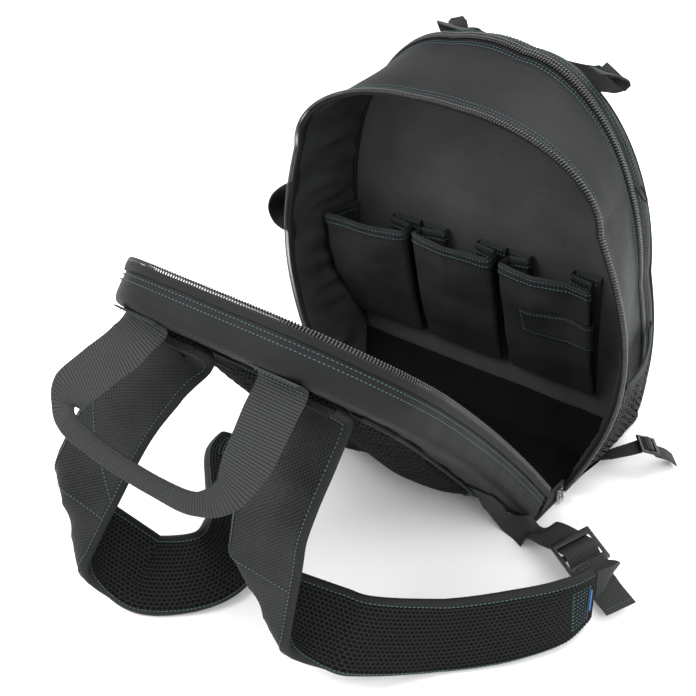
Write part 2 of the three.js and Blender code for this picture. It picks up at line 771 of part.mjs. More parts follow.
// Carry handle: two flat legs that stand off the panel and a grip folded to half its width.
// across is a share of STRAP_SPACING / 2, drop of HANDLE_DROP, slide of HANDLE_WIDTH.
const HANDLE_ROWS = [
  { across: -1.1, drop: 0.25, slide: 0.0, wx: 1, wo: -0.1, wu: 0, width: 1, thick: 1 },
  { across: -1.34, drop: 0.53, slide: 0.04, wx: 1, wo: -0.25, wu: 0, width: 0.98, thick: 1 },
  { across: -1.56, drop: 0.78, slide: 0.04, wx: 0.95, wo: -0.35, wu: 0, width: 0.86, thick: 1.4 },
  { across: -1.42, drop: 0.97, slide: 0.0, wx: 0.55, wo: -0.85, wu: 0.1, width: 0.66, thick: 2 },
  { across: -0.98, drop: 1.05, slide: -0.05, wx: 0.1, wo: -1, wu: 0.2, width: 0.56, thick: 2.2 },
  { across: 0, drop: 1.08, slide: -0.1, wx: 0, wo: -1, wu: 0.25, width: 0.56, thick: 2.2 },
  { across: 0.62, drop: 1.04, slide: -0.05, wx: -0.15, wo: -1, wu: 0.2, width: 0.58, thick: 2.2 },
  { across: 0.92, drop: 0.92, slide: 0.0, wx: -0.7, wo: -0.7, wu: 0.1, width: 0.74, thick: 1.8 },
  { across: 1.0, drop: 0.66, slide: 0.02, wx: -1, wo: -0.1, wu: 0, width: 0.94, thick: 1 },
  { across: 1, drop: 0.3, slide: 0.0, wx: -1, wo: 0, wu: 0, width: 1, thick: 1 },
];

const HANDLE_TURN_LIFT = 2.2;

function makeCarryHandle() {
  const { up, out } = panelAxes(HANDLE_ROOT);
  const seat = PANEL_BAND + CLEARANCE + WEBBING / 2;
  const root = (side) => panelPoint((side * STRAP_SPACING) / 2, HANDLE_ROOT, seat);
  const rows = HANDLE_ROWS.map((r) => {
    const centre = panelPoint((r.across * STRAP_SPACING) / 2, HANDLE_ROOT, PANEL_BAND)
      .addScaledVector(out, r.drop * HANDLE_DROP)
      .addScaledVector(up, r.slide * HANDLE_WIDTH);
    const wide = v3(r.wx, 0, 0).addScaledVector(out, r.wo).addScaledVector(up, r.wu);
    return { centre, wide: wide.normalize(), width: r.width * HANDLE_WIDTH, thick: r.thick * WEBBING };
  });
  const lay = (side) => {
    const centre = root(side);
    const wide = v3(-side, 0, 0);
    const flat = centre.clone().addScaledVector(up, WEBBING_END);
    const turn = centre.clone().addScaledVector(out, HANDLE_TURN_LIFT);
    const base = { wide, width: HANDLE_WIDTH, thick: WEBBING };
    return [{ ...base, centre: flat }, { ...base, centre: turn }];
  };
  const stations = [...lay(-1), ...rows, ...lay(1).reverse()];
  const perSpan = 2;
  const frames = bandFrames(stations, perSpan);
  const loops = frames.map((f, i) => {
    const k = Math.min(stations.length - 2, Math.floor(i / perSpan));
    const thick = THREE.MathUtils.lerp(stations[k].thick, stations[k + 1].thick, i / perSpan - k);
    return sectionLoop(f, FLAT_SECTION, thick);
  });
  return loft(loops);
}

// Point on the bag's side at a height and depth, lifted off it. side is -1 left, 1 right.
function sidePlace(side, z, depth, lift) {
  const inside = Math.min(depth, BODY_DEPTH);
  const points = RIM_ARCH.map((_, i) => sidePoint(i, inside, -lift));
  const line = (side > 0 ? points.reverse() : points).slice(0, ARCH_STEPS / 2);
  const next = Math.max(1, line.findIndex((p) => p.z >= z));
  const share = (z - line[next - 1].z) / (line[next].z - line[next - 1].z);
  return line[next - 1].clone().lerp(line[next], share).add(v3(0, depth - inside, 0));
}

// Net pocket on the right side: from above the base up to its bound edge. bulge is a share.
const NET_POCKET = { low: 24, high: 150, rear: 15, front: 138, bulge: 10.5, seat: 2.6 };
const NET_HEIGHTS = [
  { at: 0, bulge: 0 },
  { at: 0.12, bulge: 0.55 },
  { at: 0.4, bulge: 0.9 },
  { at: 1, bulge: 1 },
];
const NET_COLUMNS = 8;
const NET_BELLY_POWER = 0.7;

function netPlace(z, across, lift) {
  const { low, high, rear, front, bulge, seat } = NET_POCKET;
  const rise = read(NET_HEIGHTS, "bulge", Math.min(1, (z - low) / (high - low)));
  const belly = Math.sin(Math.PI * across) ** NET_BELLY_POWER;
  const depth = THREE.MathUtils.lerp(rear, front, across);
  return sidePlace(1, z, depth, seat + lift + bulge * rise * belly);
}

function makeNetPocket() {
  const grid = (lift) => NET_HEIGHTS.map((row) => shares(NET_COLUMNS)
    .map((a) => netPlace(THREE.MathUtils.lerp(NET_POCKET.low, NET_POCKET.high, row.at), a, lift)));
  return wall(grid(NET), grid(0));
}

const BINDING_HEIGHT = 9;

function makeNetBinding() {
  const low = NET_POCKET.high + CLEARANCE;
  const grid = (lift) => [low, low + BINDING_HEIGHT]
    .map((z) => shares(NET_COLUMNS).map((a) => netPlace(z, a, lift)));
  return wall(grid(NET + CLEARANCE), grid(-CLEARANCE));
}

// Hanging loop on the left side, with a sheath strip inside it. out is from the bag's side and z
// a height.
const TOOL_LOOP = { rear: 10, front: 55, thick: 3, seat: 1.6 };
const TOOL_LOOP_ROWS = [
  { out: 0, z: 276 },
  { out: 0, z: 266 },
  { out: 13, z: 259 },
  { out: 30, z: 240 },
  { out: 35, z: 222 },
  { out: 28, z: 208 },
  { out: 11, z: 202 },
  { out: 0, z: 209 },
  { out: 0, z: 219 },
];

function loopStations(rows, thick) {
  return rows.map((row) => {
    const lift = TOOL_LOOP.seat + thick / 2 + row.out;
    const near = sidePlace(-1, row.z, TOOL_LOOP.rear, lift);
    const far = sidePlace(-1, row.z, TOOL_LOOP.front, lift);
    const wide = far.clone().sub(near);
    return { centre: near.lerp(far, 0.5), width: wide.length(), wide: wide.normalize() };
  });
}

function makeToolLoop() {
  return band(loopStations(TOOL_LOOP_ROWS, TOOL_LOOP.thick), FLAT_SECTION, TOOL_LOOP.thick, 2);
}

const SHEATH_ROWS = [
  { out: -0.9, z: 257 },
  { out: 4, z: 246 },
  { out: 7, z: 236 },
  { out: 3, z: 226 },
];
const SHEATH_SHARE = 0.8;

function makeSheath() {
  const stations = loopStations(SHEATH_ROWS, WALL).map((s) => ({ ...s, width: s.width * SHEATH_SHARE }));
  return band(stations, FLAT_SECTION, WALL, 2);
}

// Drooping handle on the front panel. x is across, y a place and below the distance under the
// top of the front arch.
const FRONT_HANDLE_WIDTH = 34;
const FRONT_HANDLE_ROWS = [
  { x: -50, y: 121.6, below: 7.8, wx: 0, wy: 1, wz: -0.3 },
  { x: -66, y: 120, below: 6.4, wx: 0, wy: 1, wz: -0.35 },
  { x: -78, y: 131, below: 6.4, wx: 0.4, wy: 1, wz: -0.5 },
  { x: -62, y: 149, below: 20.4, wx: 0.5, wy: 0.6, wz: -0.7 },
  { x: -20, y: 157, below: 38.4, wx: 0.1, wy: 0.3, wz: -1 },
  { x: 40, y: 159, below: 45.4, wx: -0.1, wy: 0.3, wz: -1 },
  { x: 88, y: 153, below: 39.4, wx: -0.4, wy: 0.5, wz: -0.8 },
  { x: 106, y: 135, below: 26.4, wx: -0.5, wy: 1, wz: -0.5 },
  { x: 92, y: 119, below: 18.4, wx: -0.15, wy: 1, wz: -0.3 },
];

function makeFrontHandle() {
  const top = FLOOR_TOP + FRONT.height;
  const rows = FRONT_HANDLE_ROWS.map((row) => ({ ...row, z: top - row.below }));
  return band(stationsFrom(rows, FRONT_HANDLE_WIDTH), FLAT_SECTION, WEBBING, 2);
}

const boxFrom = (low, high) => {
  const size = high.clone().sub(low);
  const middle = low.clone().lerp(high, 0.5);
  return new THREE.BoxGeometry(size.x, size.y, size.z).translate(middle.x, middle.y, middle.z);
};

function toSolid(geometry) {
  const welded = mergeVertices(geometry.clone().deleteAttribute("normal").deleteAttribute("uv"));
  return new wasm.Manifold(new wasm.Mesh({
    numProp: 3,
    vertProperties: welded.attributes.position.array,
    triVerts: new Uint32Array(welded.index.array),
  }));
}

function fromSolid(solid) {
  const made = solid.getMesh();
  const geometry = new THREE.BufferGeometry();
  geometry.setAttribute("position", new THREE.BufferAttribute(made.vertProperties, 3));
  geometry.setIndex(new THREE.BufferAttribute(made.triVerts, 1));
  return geometry;
}

// Ladder lock: a flat plastic plate with two windows. Its own axes are x along the webbing,
// y across it and z out of its face.
const LOCK = { length: 38, width: 44, thick: 4, window: 9, bar: 6, rim: 3.5 };

function lockFrame(centre, along, out) {
  const x = along.clone().normalize();
  const z = out.clone().addScaledVector(x, -out.dot(x)).normalize();
  const y = z.clone().cross(x);
  return { centre, x, y, z, matrix: new THREE.Matrix4().makeBasis(x, y, z).setPosition(centre) };
}

function makeLock(frame, size) {
  const slab = (low, high, half, thick) => toSolid(boxFrom(v3(low, -half, -thick), v3(high, half, thick)));
  const half = size.width / 2;
  const inner = size.bar / 2;
  const outer = inner + size.window;
  const plate = slab(-size.length / 2, size.length / 2, half, size.thick / 2)
    .subtract(slab(inner, outer, half - size.rim, size.thick))
    .subtract(slab(-outer, -inner, half - size.rim, size.thick));
  return fromSolid(plate).applyMatrix4(frame.matrix);
}

// Webbing's way through a lock: in below, up over the middle bar, and out below.
const WEAVE_REACH = 0.7;

function weave(frame, size, width) {
  const over = (size.thick + WEBBING) / 2 + CLEARANCE;
  const middle = size.bar / 2 + size.window / 2;
  const rows = [
    { x: -middle - size.window * WEAVE_REACH, z: -over - WEBBING },
    { x: -middle, z: 0 },
    { x: -size.bar / 2, z: over + CLEARANCE },
    { x: size.bar / 2, z: over + CLEARANCE },
    { x: middle, z: 0 },
    { x: middle + size.window * WEAVE_REACH, z: -over - WEBBING },
  ];
  return rows.map((row) => ({
    centre: frame.centre.clone().addScaledVector(frame.x, row.x).addScaledVector(frame.z, row.z),
    wide: frame.y.clone(),
    width,
  }));
}

const LOWER_LOCKS = {
  right: lockFrame(v3(225, -92, 28), v3(0.85, -0.4, -0.2), v3(0.2, -0.3, 0.9)),
  left: lockFrame(v3(-166, -97, 15), v3(-0.08, -1, 0), v3(0, 0, 1)),
};
const LOWER_WEBBING = {
  right: {
    lead: [
      { x: 162, y: -80, z: 9, wx: 0.85, wy: 0.5, wz: 0.15 },
      { x: 184, y: -80, z: 20, wx: 0.5, wy: 0.8, wz: 0.3 },
    ],
    tail: [
      { x: 262, y: -108, z: 13, wx: 0.4, wy: 0.9, wz: 0 },
      { x: 284, y: -118, z: 9, wx: 0.4, wy: 0.9, wz: 0 },
    ],
  },
  left: {
    lead: [
      { x: -152, y: -72, z: 20, wx: 1, wy: -0.1, wz: 0 },
    ],
    tail: [
      { x: -169, y: -122, z: 7, wx: 1, wy: -0.08, wz: 0 },
      { x: -170, y: -130, z: 4, wx: 1, wy: -0.08, wz: 0 },
    ],
  },
};

// Sewn root of each lower webbing on the panel: across, along its face and lift off it.
const LOWER_ROOT_ROWS = [
  { across: 124, along: 84, lift: 0 },
  { across: 128, along: 62, lift: 2 },
  { across: 132, along: 40, lift: 8 },
];
const LOWER_ROOT_SHARE = 0.8;
const LOWER_FREE_SHARE = 0.9;

function makeLowerWebbing(word) {
  const side = word === "right" ? 1 : -1;
  const narrow = LOWER_WEBBING_WIDTH * LOWER_ROOT_SHARE;
  const width = LOWER_WEBBING_WIDTH * LOWER_FREE_SHARE;
  const root = LOWER_ROOT_ROWS.map((row) => {
    return panelStation(side * row.across, row.along, WEBBING, row.lift, narrow);
  });
  const { lead, tail } = LOWER_WEBBING[word];
  const through = weave(LOWER_LOCKS[word], LOCK, width);
  const stations = [...root, ...stationsFrom(lead, width), ...through, ...stationsFrom(tail, width)];
  return band(stations, FLAT_SECTION, WEBBING, 2);
}

// Short webbing from each strap's end to its lock.
const STRAP_LOOP = {
  right: [
    { x: 262, y: -131, z: 38, wx: 0, wy: -0.1, wz: -1 },
    { x: 267, y: -116, z: 38, wx: -0.2, wy: -0.3, wz: -0.9 },
    { x: 262, y: -107, z: 33, wx: -0.4, wy: -0.6, wz: -0.5 },
    { x: 251, y: -104, z: 28, wx: -0.45, wy: -0.85, wz: -0.25 },
    { x: 239, y: -99, z: 28.6, wx: -0.42, wy: -0.86, wz: -0.2 },
  ],
  left: [
    { x: -160, y: -136, z: 24, wx: 1, wy: 0.1, wz: 0 },
    { x: -163, y: -127, z: 22.4, wx: 1, wy: 0, wz: 0 },
    { x: -165.5, y: -118, z: 19.8, wx: 1, wy: -0.08, wz: 0 },
    { x: -166.2, y: -113, z: 19.5, wx: 1, wy: -0.08, wz: 0 },
  ],
};

const STRAP_LOOP_THICK = 2.88;

function makeStrapLoop(word) {
  const stations = stationsFrom(STRAP_LOOP[word], LOWER_WEBBING_WIDTH * LOWER_ROOT_SHARE);
  return band(stations, FLAT_SECTION, STRAP_LOOP_THICK, 2);
}

// Side compression strap below the net pocket, with its small lock.
const SIDE_LOCK_SIZE = { length: 22, width: 26, thick: 3, window: 5.5, bar: 4, rim: 2.5 };
const SIDE_LOCK = lockFrame(v3(206, 94, 27), v3(0.7, 0.62, -0.35), v3(0.3, 0.2, 0.9));
const SIDE_STRAP = { width: 20, rear: 58 };
const SIDE_ROOT_ROWS = [
  { z: 11, lift: 0 },
  { z: 14, lift: 5 },
];
const SIDE_TAIL_ROWS = [
  { x: 222, y: 108, z: 13, wx: -0.6, wy: 0.75, wz: 0 },
  { x: 229, y: 115, z: 4, wx: -0.6, wy: 0.75, wz: 0 },
];

function makeSideStrap() {
  const { width, rear } = SIDE_STRAP;
  const root = SIDE_ROOT_ROWS.map((row) => {
    const lift = CLEARANCE + WEBBING / 2 + row.lift;
    const near = sidePlace(1, row.z, rear, lift);
    const far = sidePlace(1, row.z, rear + width, lift);
    return { centre: near.clone().lerp(far, 0.5), wide: far.sub(near).normalize(), width };
  });
  const through = weave(SIDE_LOCK, SIDE_LOCK_SIZE, width);
  const stations = [...root, ...through, ...stationsFrom(SIDE_TAIL_ROWS, width)];
  return band(stations, FLAT_SECTION, WEBBING, 2);
}

// Cord loop on the pull of the front zip.
const PULL_CORD = 1.6;
const PULL_ROWS = [
  { x: 1.3, y: 9, z: 316 },
  { x: 4, y: 10, z: 308 },
  { x: 6, y: 12, z: 302 },
  { x: 7, y: 14, z: 300 },
  { x: 7, y: 16, z: 302 },
  { x: 5, y: 17, z: 308 },
  { x: 3, y: 17, z: 314 },
];

function makePullLoop() {
  const stations = PULL_ROWS.map((row) => ({
    centre: sidePlace(1, row.z, BODY_DEPTH + row.y, row.x),
    wide: v3(1, 0, 0),
    width: PULL_CORD,
  }));
  return band(stations, FLAT_SECTION, PULL_CORD, 1);
}

// Main zip's slider beside the hinge on the right, and the pull that swings on its bridge.
// face and reach are distances out from the rim's foot.
const SLIDER = { face: 3.5, low: 9, high: 20, rear: -20, front: -11 };
const BRIDGE = { reach: 8, low: 9.7, high: 19.8, thick: 2.6, bar: 1.4, leg: 1.8 };
const PULL = { reach: 5, thick: 1.4, width: 7, length: 12.5, side: 1.5 };
const PULL_HINGE = v3(
  RIM.half + PULL.reach,
  (SLIDER.rear + SLIDER.front) / 2,
  (SLIDER.low + SLIDER.high) / 2 + CLEARANCE,
);

function makeSlider() {
  const back = RIM.half + CLEARANCE / 2;
  const face = RIM.half + SLIDER.face;
  const far = RIM.half + BRIDGE.reach;
  const body = boxFrom(v3(back, SLIDER.rear, SLIDER.low), v3(face, SLIDER.front, SLIDER.high));
  const half = BRIDGE.thick / 2;
  const y = PULL_HINGE.y;
  const bridge = boxFrom(
    v3(face - BRIDGE.leg, y - half, BRIDGE.low),
    v3(far, y + half, BRIDGE.high),
  );
  const window = boxFrom(
    v3(face, y - BRIDGE.thick, BRIDGE.low + BRIDGE.leg),
    v3(far - BRIDGE.bar, y + BRIDGE.thick, BRIDGE.high - BRIDGE.leg),
  );
  return fromSolid(toSolid(body).add(toSolid(bridge)).subtract(toSolid(window)));
}

function makePull() {
  const { x, y, z } = PULL_HINGE;
  const half = PULL.thick / 2;
  const edge = PULL.width / 2;
  const inside = edge - PULL.side;
  const low = half - PULL.length;
  const reach = PULL.thick + BRIDGE.high - z + BRIDGE.leg;
  const outer = new THREE.Shape([
    new THREE.Vector2(-edge, half),
    new THREE.Vector2(-edge, low),
    new THREE.Vector2(edge, low),
    new THREE.Vector2(edge, half),
  ]);
  outer.holes.push(new THREE.Path([
    new THREE.Vector2(-inside, -half),
    new THREE.Vector2(inside, -half),
    new THREE.Vector2(inside, -reach),
    new THREE.Vector2(-inside, -reach),
  ]));
  const geometry = new THREE.ExtrudeGeometry(outer, { depth: PULL.thick, bevelEnabled: false });
  geometry.deleteAttribute("uv");
  geometry.deleteAttribute("normal");
  geometry.translate(0, 0, -half);
  return geometry.rotateX(Math.PI / 2).rotateZ(Math.PI / 2).translate(x, y, z);
}

function mesh(name, geometry, colour, roughness, metalness = 0) {
  const flat = geometry.index ? geometry.toNonIndexed() : geometry;
  flat.computeVertexNormals();
  const material = new THREE.MeshStandardMaterial({ color: colour, roughness, metalness });
  const object = new THREE.Mesh(flat, material);
  object.name = name;
  return object;
}

const COATED = 0x3b3d3f;
const WOVEN = 0x333537;
const LINING = 0x1c1d1e;
const MESH_CLOTH = 0x1e2021;
const BLACK = 0x141414;
const NICKEL = 0x9a9a98;

const group = new THREE.Group();
group.add(mesh("main_shell", makeMainShell(), COATED, 0.7));
group.add(mesh("base_panel", makeBase(), WOVEN, 0.8));
group.add(mesh("front_shell", makeFrontShell(), COATED, 0.7));
group.add(mesh("rear_zip", makeRearZip(), BLACK, 0.5));
group.add(mesh("front_zip", makeFrontZip(), BLACK, 0.5));
group.add(mesh("divider_wall", makeDivider(), LINING, 0.85));
group.add(mesh("back_panel", makeBackPanel(), WOVEN, 0.8));
group.add(mesh("panel_zip", makePanelZip(), BLACK, 0.5));
for (const [side, word] of [[-1, "left"], [1, "right"]]) {
  group.add(mesh(`hinge_gusset_${word}`, makeHingeGusset(side), LINING, 0.85));
  group.add(mesh(`back_pad_${word}`, makeBackPad(side), MESH_CLOTH, 0.9));
  group.add(mesh(`shoulder_strap_${word}`, makeStrap(word), WOVEN, 0.85));
}
for (const [name, rows] of Object.entries(POCKETS)) {
  group.add(mesh(name, makePocket(rows), LINING, 0.85));
}
group.add(mesh("patch_pocket", makePatchPocket(), LINING, 0.85));
group.add(mesh("carry_handle", makeCarryHandle(), BLACK, 0.8));
group.add(mesh("net_pocket", makeNetPocket(), MESH_CLOTH, 0.9));
group.add(mesh("net_binding", makeNetBinding(), WOVEN, 0.8));
group.add(mesh("tool_loop", makeToolLoop(), BLACK, 0.7));
group.add(mesh("tool_loop_sheath", makeSheath(), COATED, 0.7));
group.add(mesh("front_handle", makeFrontHandle(), BLACK, 0.8));
for (const word of ["left", "right"]) {
  group.add(mesh(`lower_webbing_${word}`, makeLowerWebbing(word), BLACK, 0.8));
  group.add(mesh(`ladder_lock_${word}`, makeLock(LOWER_LOCKS[word], LOCK), BLACK, 0.5));
  group.add(mesh(`strap_loop_${word}`, makeStrapLoop(word), BLACK, 0.8));
}
group.add(mesh("side_strap", makeSideStrap(), BLACK, 0.8));
group.add(mesh("side_buckle", makeLock(SIDE_LOCK, SIDE_LOCK_SIZE), BLACK, 0.5));
group.add(mesh("front_pull_loop", makePullLoop(), BLACK, 0.6));
group.add(mesh("main_zip_slider", makeSlider(), NICKEL, 0.35, 1));
group.add(mesh("main_zip_pull", makePull(), NICKEL, 0.35, 1));

export default group;
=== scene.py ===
"""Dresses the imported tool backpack: cloth, padding, zips, webbing, stitching and metal."""

import logging
import math
from dataclasses import dataclass, field
from enum import Enum
from typing import Callable, Optional, Sequence

import bpy
import numpy as np
from mathutils import Matrix, Vector, noise


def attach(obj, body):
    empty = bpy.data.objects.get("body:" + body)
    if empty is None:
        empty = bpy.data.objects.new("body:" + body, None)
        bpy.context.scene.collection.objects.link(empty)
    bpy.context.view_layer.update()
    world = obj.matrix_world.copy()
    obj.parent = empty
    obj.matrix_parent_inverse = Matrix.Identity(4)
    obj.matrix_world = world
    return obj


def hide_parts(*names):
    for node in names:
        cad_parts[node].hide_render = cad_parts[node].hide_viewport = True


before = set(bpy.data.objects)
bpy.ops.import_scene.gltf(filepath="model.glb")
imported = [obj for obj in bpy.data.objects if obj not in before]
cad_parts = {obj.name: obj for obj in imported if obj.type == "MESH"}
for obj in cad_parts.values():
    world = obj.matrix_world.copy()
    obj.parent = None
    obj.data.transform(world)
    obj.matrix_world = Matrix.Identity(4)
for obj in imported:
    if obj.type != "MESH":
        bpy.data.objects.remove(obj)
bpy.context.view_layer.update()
LOG = logging.getLogger("backpack")

MM = 0.001
Array = np.ndarray
Place = Callable[[Array, Array], Array]


def vec(x: Array, y: Array, z: Array) -> Array:
    """Rows of points from three columns that may be numbers or arrays."""
    x, y, z = np.broadcast_arrays(np.asarray(x, float), np.asarray(y, float), np.asarray(z, float))
    return np.stack([x, y, z], axis=-1)


def unit(v: Array) -> Array:
    """Rows scaled to length one."""
    return v / np.maximum(np.linalg.norm(v, axis=-1, keepdims=True), 1e-9)


def lerp(a: Array, b: Array, t: Array) -> Array:
    """Blend of a and b, where t may have one value per row."""
    t = np.asarray(t, float)
    if np.ndim(a) > np.ndim(t):
        t = t[..., None]
    return a + (b - a) * t


def curve(at: Array, xs: Sequence[float], ys: Sequence) -> Array:
    """Smooth reading of a table by cubic Hermite spans.

    Args:
        at: Places to read.
        xs: Sorted places of the table's rows.
        ys: Values or points of the rows.

    Returns:
        One value or point for each place.
    """
    xs = np.asarray(xs, float)
    ys = np.asarray(ys, float)
    at = np.clip(np.asarray(at, float), xs[0], xs[-1])
    slope = np.gradient(ys, xs, axis=0, edge_order=1)
    k = np.clip(np.searchsorted(xs, at, side="right") - 1, 0, len(xs) - 2)
    h = xs[k + 1] - xs[k]
    t = (at - xs[k]) / h
    if ys.ndim > 1:
        t, h = t[..., None], h[..., None]
    a, b = ys[k], ys[k + 1]
    ma, mb = slope[k] * h, slope[k + 1] * h
    return (
        (2 * t**3 - 3 * t**2 + 1) * a
        + (t**3 - 2 * t**2 + t) * ma
        + (3 * t**2 - 2 * t**3) * b
        + (t**3 - t**2) * mb
    )


def rumple(points: Array, scale: float, seed: float) -> Array:
    """Soft noise from -1 to 1 at points in millimetres.

    Args:
        points: Points.
        scale: Size of a lump, in millimetres.
        seed: Shift that picks another pattern.

    Returns:
        One value for each point.
    """
    shift = Vector((seed * 7.1, seed * 3.7, seed * 5.3))
    flat = points.reshape(-1, 3)
    values = [noise.noise(Vector(p) / scale + shift) for p in flat]
    return np.array(values).reshape(points.shape[:-1])


# Mesh making

def deselect() -> None:
    """Clears the selection, because operators act on all that is selected."""
    for obj in bpy.context.selected_objects:
        obj.select_set(False)


def only(obj: bpy.types.Object) -> None:
    """Makes obj the one selected and active object."""
    deselect()
    obj.select_set(True)
    bpy.context.view_layer.objects.active = obj


def coords(obj: bpy.types.Object) -> Array:
    """The mesh's points as rows."""
    out = np.empty(len(obj.data.vertices) * 3)
    obj.data.vertices.foreach_get("co", out)
    return out.reshape(-1, 3)


def set_coords(obj: bpy.types.Object, points: Array) -> None:
    """Moves the mesh's points."""
    obj.data.vertices.foreach_set("co", np.ascontiguousarray(points, float).ravel())
    obj.data.update()


def apply(obj: bpy.types.Object, kind: str, **settings: object) -> None:
    """Adds a modifier and applies it."""
    only(obj)
    mod = obj.modifiers.new(kind.title(), kind)
    for key, value in settings.items():
        setattr(mod, key, value)
    bpy.ops.object.modifier_apply(modifier=mod.name)


def grid(
    name: str,
    cells: tuple[int, int],
    place: Place,
    closed: bool = False,
    away: Optional[Sequence[float]] = None,
    inward: bool = False,
    zones: Optional[Callable[[Array, Array], Array]] = None,
) -> bpy.types.Object:
    """A grid whose points are moved to place(u, v), with a UV map in metres.

    Args:
        name: Name of the piece.
        cells: Cells along u and along v.
        place: Gives points in millimetres for u and v from 0 to 1.
        closed: Whether doubled points, such as v's two ends, are merged.
        away: Point in millimetres that an open sheet's faces turn their backs to.
        inward: Whether they face that point instead.
        zones: Gives a material index for each cell's middle.

    Returns:
        The piece.
    """
    deselect()
    nu, nv = cells
    bpy.ops.mesh.primitive_grid_add(x_subdivisions=nu, y_subdivisions=nv, size=2, calc_uvs=True)
    obj = bpy.context.object
    obj.name = obj.data.name = name
    base = coords(obj)
    u, v = (base[:, 0] + 1) / 2, (base[:, 1] + 1) / 2
    points = place(u, v)
    set_coords(obj, points * MM)
    table = points.reshape(nv + 1, nu + 1, 3)
    along = np.zeros(nu + 1)
    along[1:] = np.cumsum(np.linalg.norm(np.diff(table, axis=1), axis=2).mean(axis=0))
    across = np.zeros(nv + 1)
    across[1:] = np.cumsum(np.linalg.norm(np.diff(table, axis=0), axis=2).mean(axis=1))
    uv = np.stack([np.tile(along, nv + 1), np.repeat(across, nu + 1)], axis=1) * MM
    ids = np.empty(len(obj.data.loops), dtype=np.int64)
    obj.data.loops.foreach_get("vertex_index", ids)
    obj.data.uv_layers.active.data.foreach_set("uv", uv[ids].ravel())
    if zones is not None:
        cu, cv = np.meshgrid((np.arange(nu) + 0.5) / nu, (np.arange(nv) + 0.5) / nv)
        index = zones(cu.ravel(), cv.ravel()).astype(np.int32)
        obj.data.polygons.foreach_set("material_index", index)
    only(obj)
    bpy.ops.object.mode_set(mode="EDIT")
    bpy.ops.mesh.select_all(action="SELECT")
    if closed:
        bpy.ops.mesh.remove_doubles(threshold=1e-5)
        bpy.ops.mesh.normals_make_consistent(inside=False)
    elif away is not None and facing(obj, away) == inward:
        bpy.ops.mesh.flip_normals()
    bpy.ops.object.mode_set(mode="OBJECT")
    return obj


def facing(obj: bpy.types.Object, point: Sequence[float]) -> bool:
    """Whether most of an open sheet's area faces away from a point in millimetres."""
    total = 0.0
    eye = Vector(point) * MM
    for face in obj.data.polygons:
        total += face.area * face.normal.dot((face.center - eye).normalized())
    return total > 0


def smooth(obj: bpy.types.Object, angle: float = 60.0) -> bpy.types.Object:
    """Shades a piece smooth but for edges sharper than angle."""
    only(obj)
    bpy.ops.object.shade_smooth_by_angle(angle=math.radians(angle))
    return obj


def copies(name: str, pattern: bpy.types.Object, spots: Array, frames: Array) -> bpy.types.Object:
    """One mesh of many copies of a small pattern, which is used up.

    Args:
        name: Name of the piece.
        pattern: Small mesh in millimetres, made about the origin.
        spots: Places of the copies, in millimetres.
        frames: Three axes for each copy, as rows.

    Returns:
        The piece.
    """
    base = coords(pattern)
    faces = [tuple(p.vertices) for p in pattern.data.polygons]
    count, size = len(spots), len(base)
    points = np.einsum("ki,nij->nkj", base, frames) + spots[:, None, :]
    mesh = bpy.data.meshes.new(name)
    sides = np.array([len(f) for f in faces])
    flat = np.concatenate([np.array(f) for f in faces])
    loops = (flat[None, :] + (np.arange(count) * size)[:, None]).ravel()
    starts = np.concatenate([[0], np.cumsum(np.tile(sides, count))[:-1]])
    mesh.vertices.add(count * size)
    mesh.vertices.foreach_set("co", (points * MM).ravel())
    mesh.loops.add(len(loops))
    mesh.loops.foreach_set("vertex_index", loops)
    mesh.polygons.add(len(starts))
    mesh.polygons.foreach_set("loop_start", starts)
    mesh.update(calc_edges=True)
    mesh.validate()
    mesh.polygons.foreach_set("use_smooth", np.ones(len(mesh.polygons), bool))
    obj = bpy.data.objects.new(name, mesh)
    bpy.context.scene.collection.objects.link(obj)
    bpy.data.objects.remove(pattern, do_unlink=True)
    return obj


def join(name: str, parts: Sequence[bpy.types.Object]) -> bpy.types.Object:
    """Joins pieces into one."""
    if len(parts) > 1:
        deselect()
        for part in parts:
            part.select_set(True)
        bpy.context.view_layer.objects.active = parts[0]
        bpy.ops.object.join()
    parts[0].name = parts[0].data.name = name
    return parts[0]


@dataclass
class Line:
    """A line on a surface, with the surface's outward direction at each point."""

    points: Array
    out: Array

    def evenly(self, pitch: float, start: float = 0.0) -> tuple[Array, Array]:
        """Spots a pitch apart, and axes along, across and out at each.

        Args:
            pitch: Distance between spots, in millimetres.
            start: Distance of the first spot from the line's start.

        Returns:
            Spots and their axes.
        """
        steps = np.linalg.norm(np.diff(self.points, axis=0), axis=1)
        reach = np.concatenate([[0], np.cumsum(steps)])
        at = np.arange(start + pitch / 2, reach[-1], pitch)

        def pick(rows: Array, spots: Array) -> Array:
            return np.stack([np.interp(spots, reach, rows[:, i]) for i in range(3)], axis=1)

        delta = min(pitch, 2.0) / 2
        along = unit(pick(self.points, at + delta) - pick(self.points, at - delta))
        out = pick(self.out, at)
        out = unit(out - along * (out * along).sum(axis=1, keepdims=True))
        across = np.cross(out, along)
        return pick(self.points, at), np.stack([along, across, out], axis=1)


@dataclass(frozen=True)
class Stitch:
    """Length, pitch and thickness of a stitch, in millimetres."""

    length: float = 2.7
    pitch: float = 3.9
    thick: float = 0.95


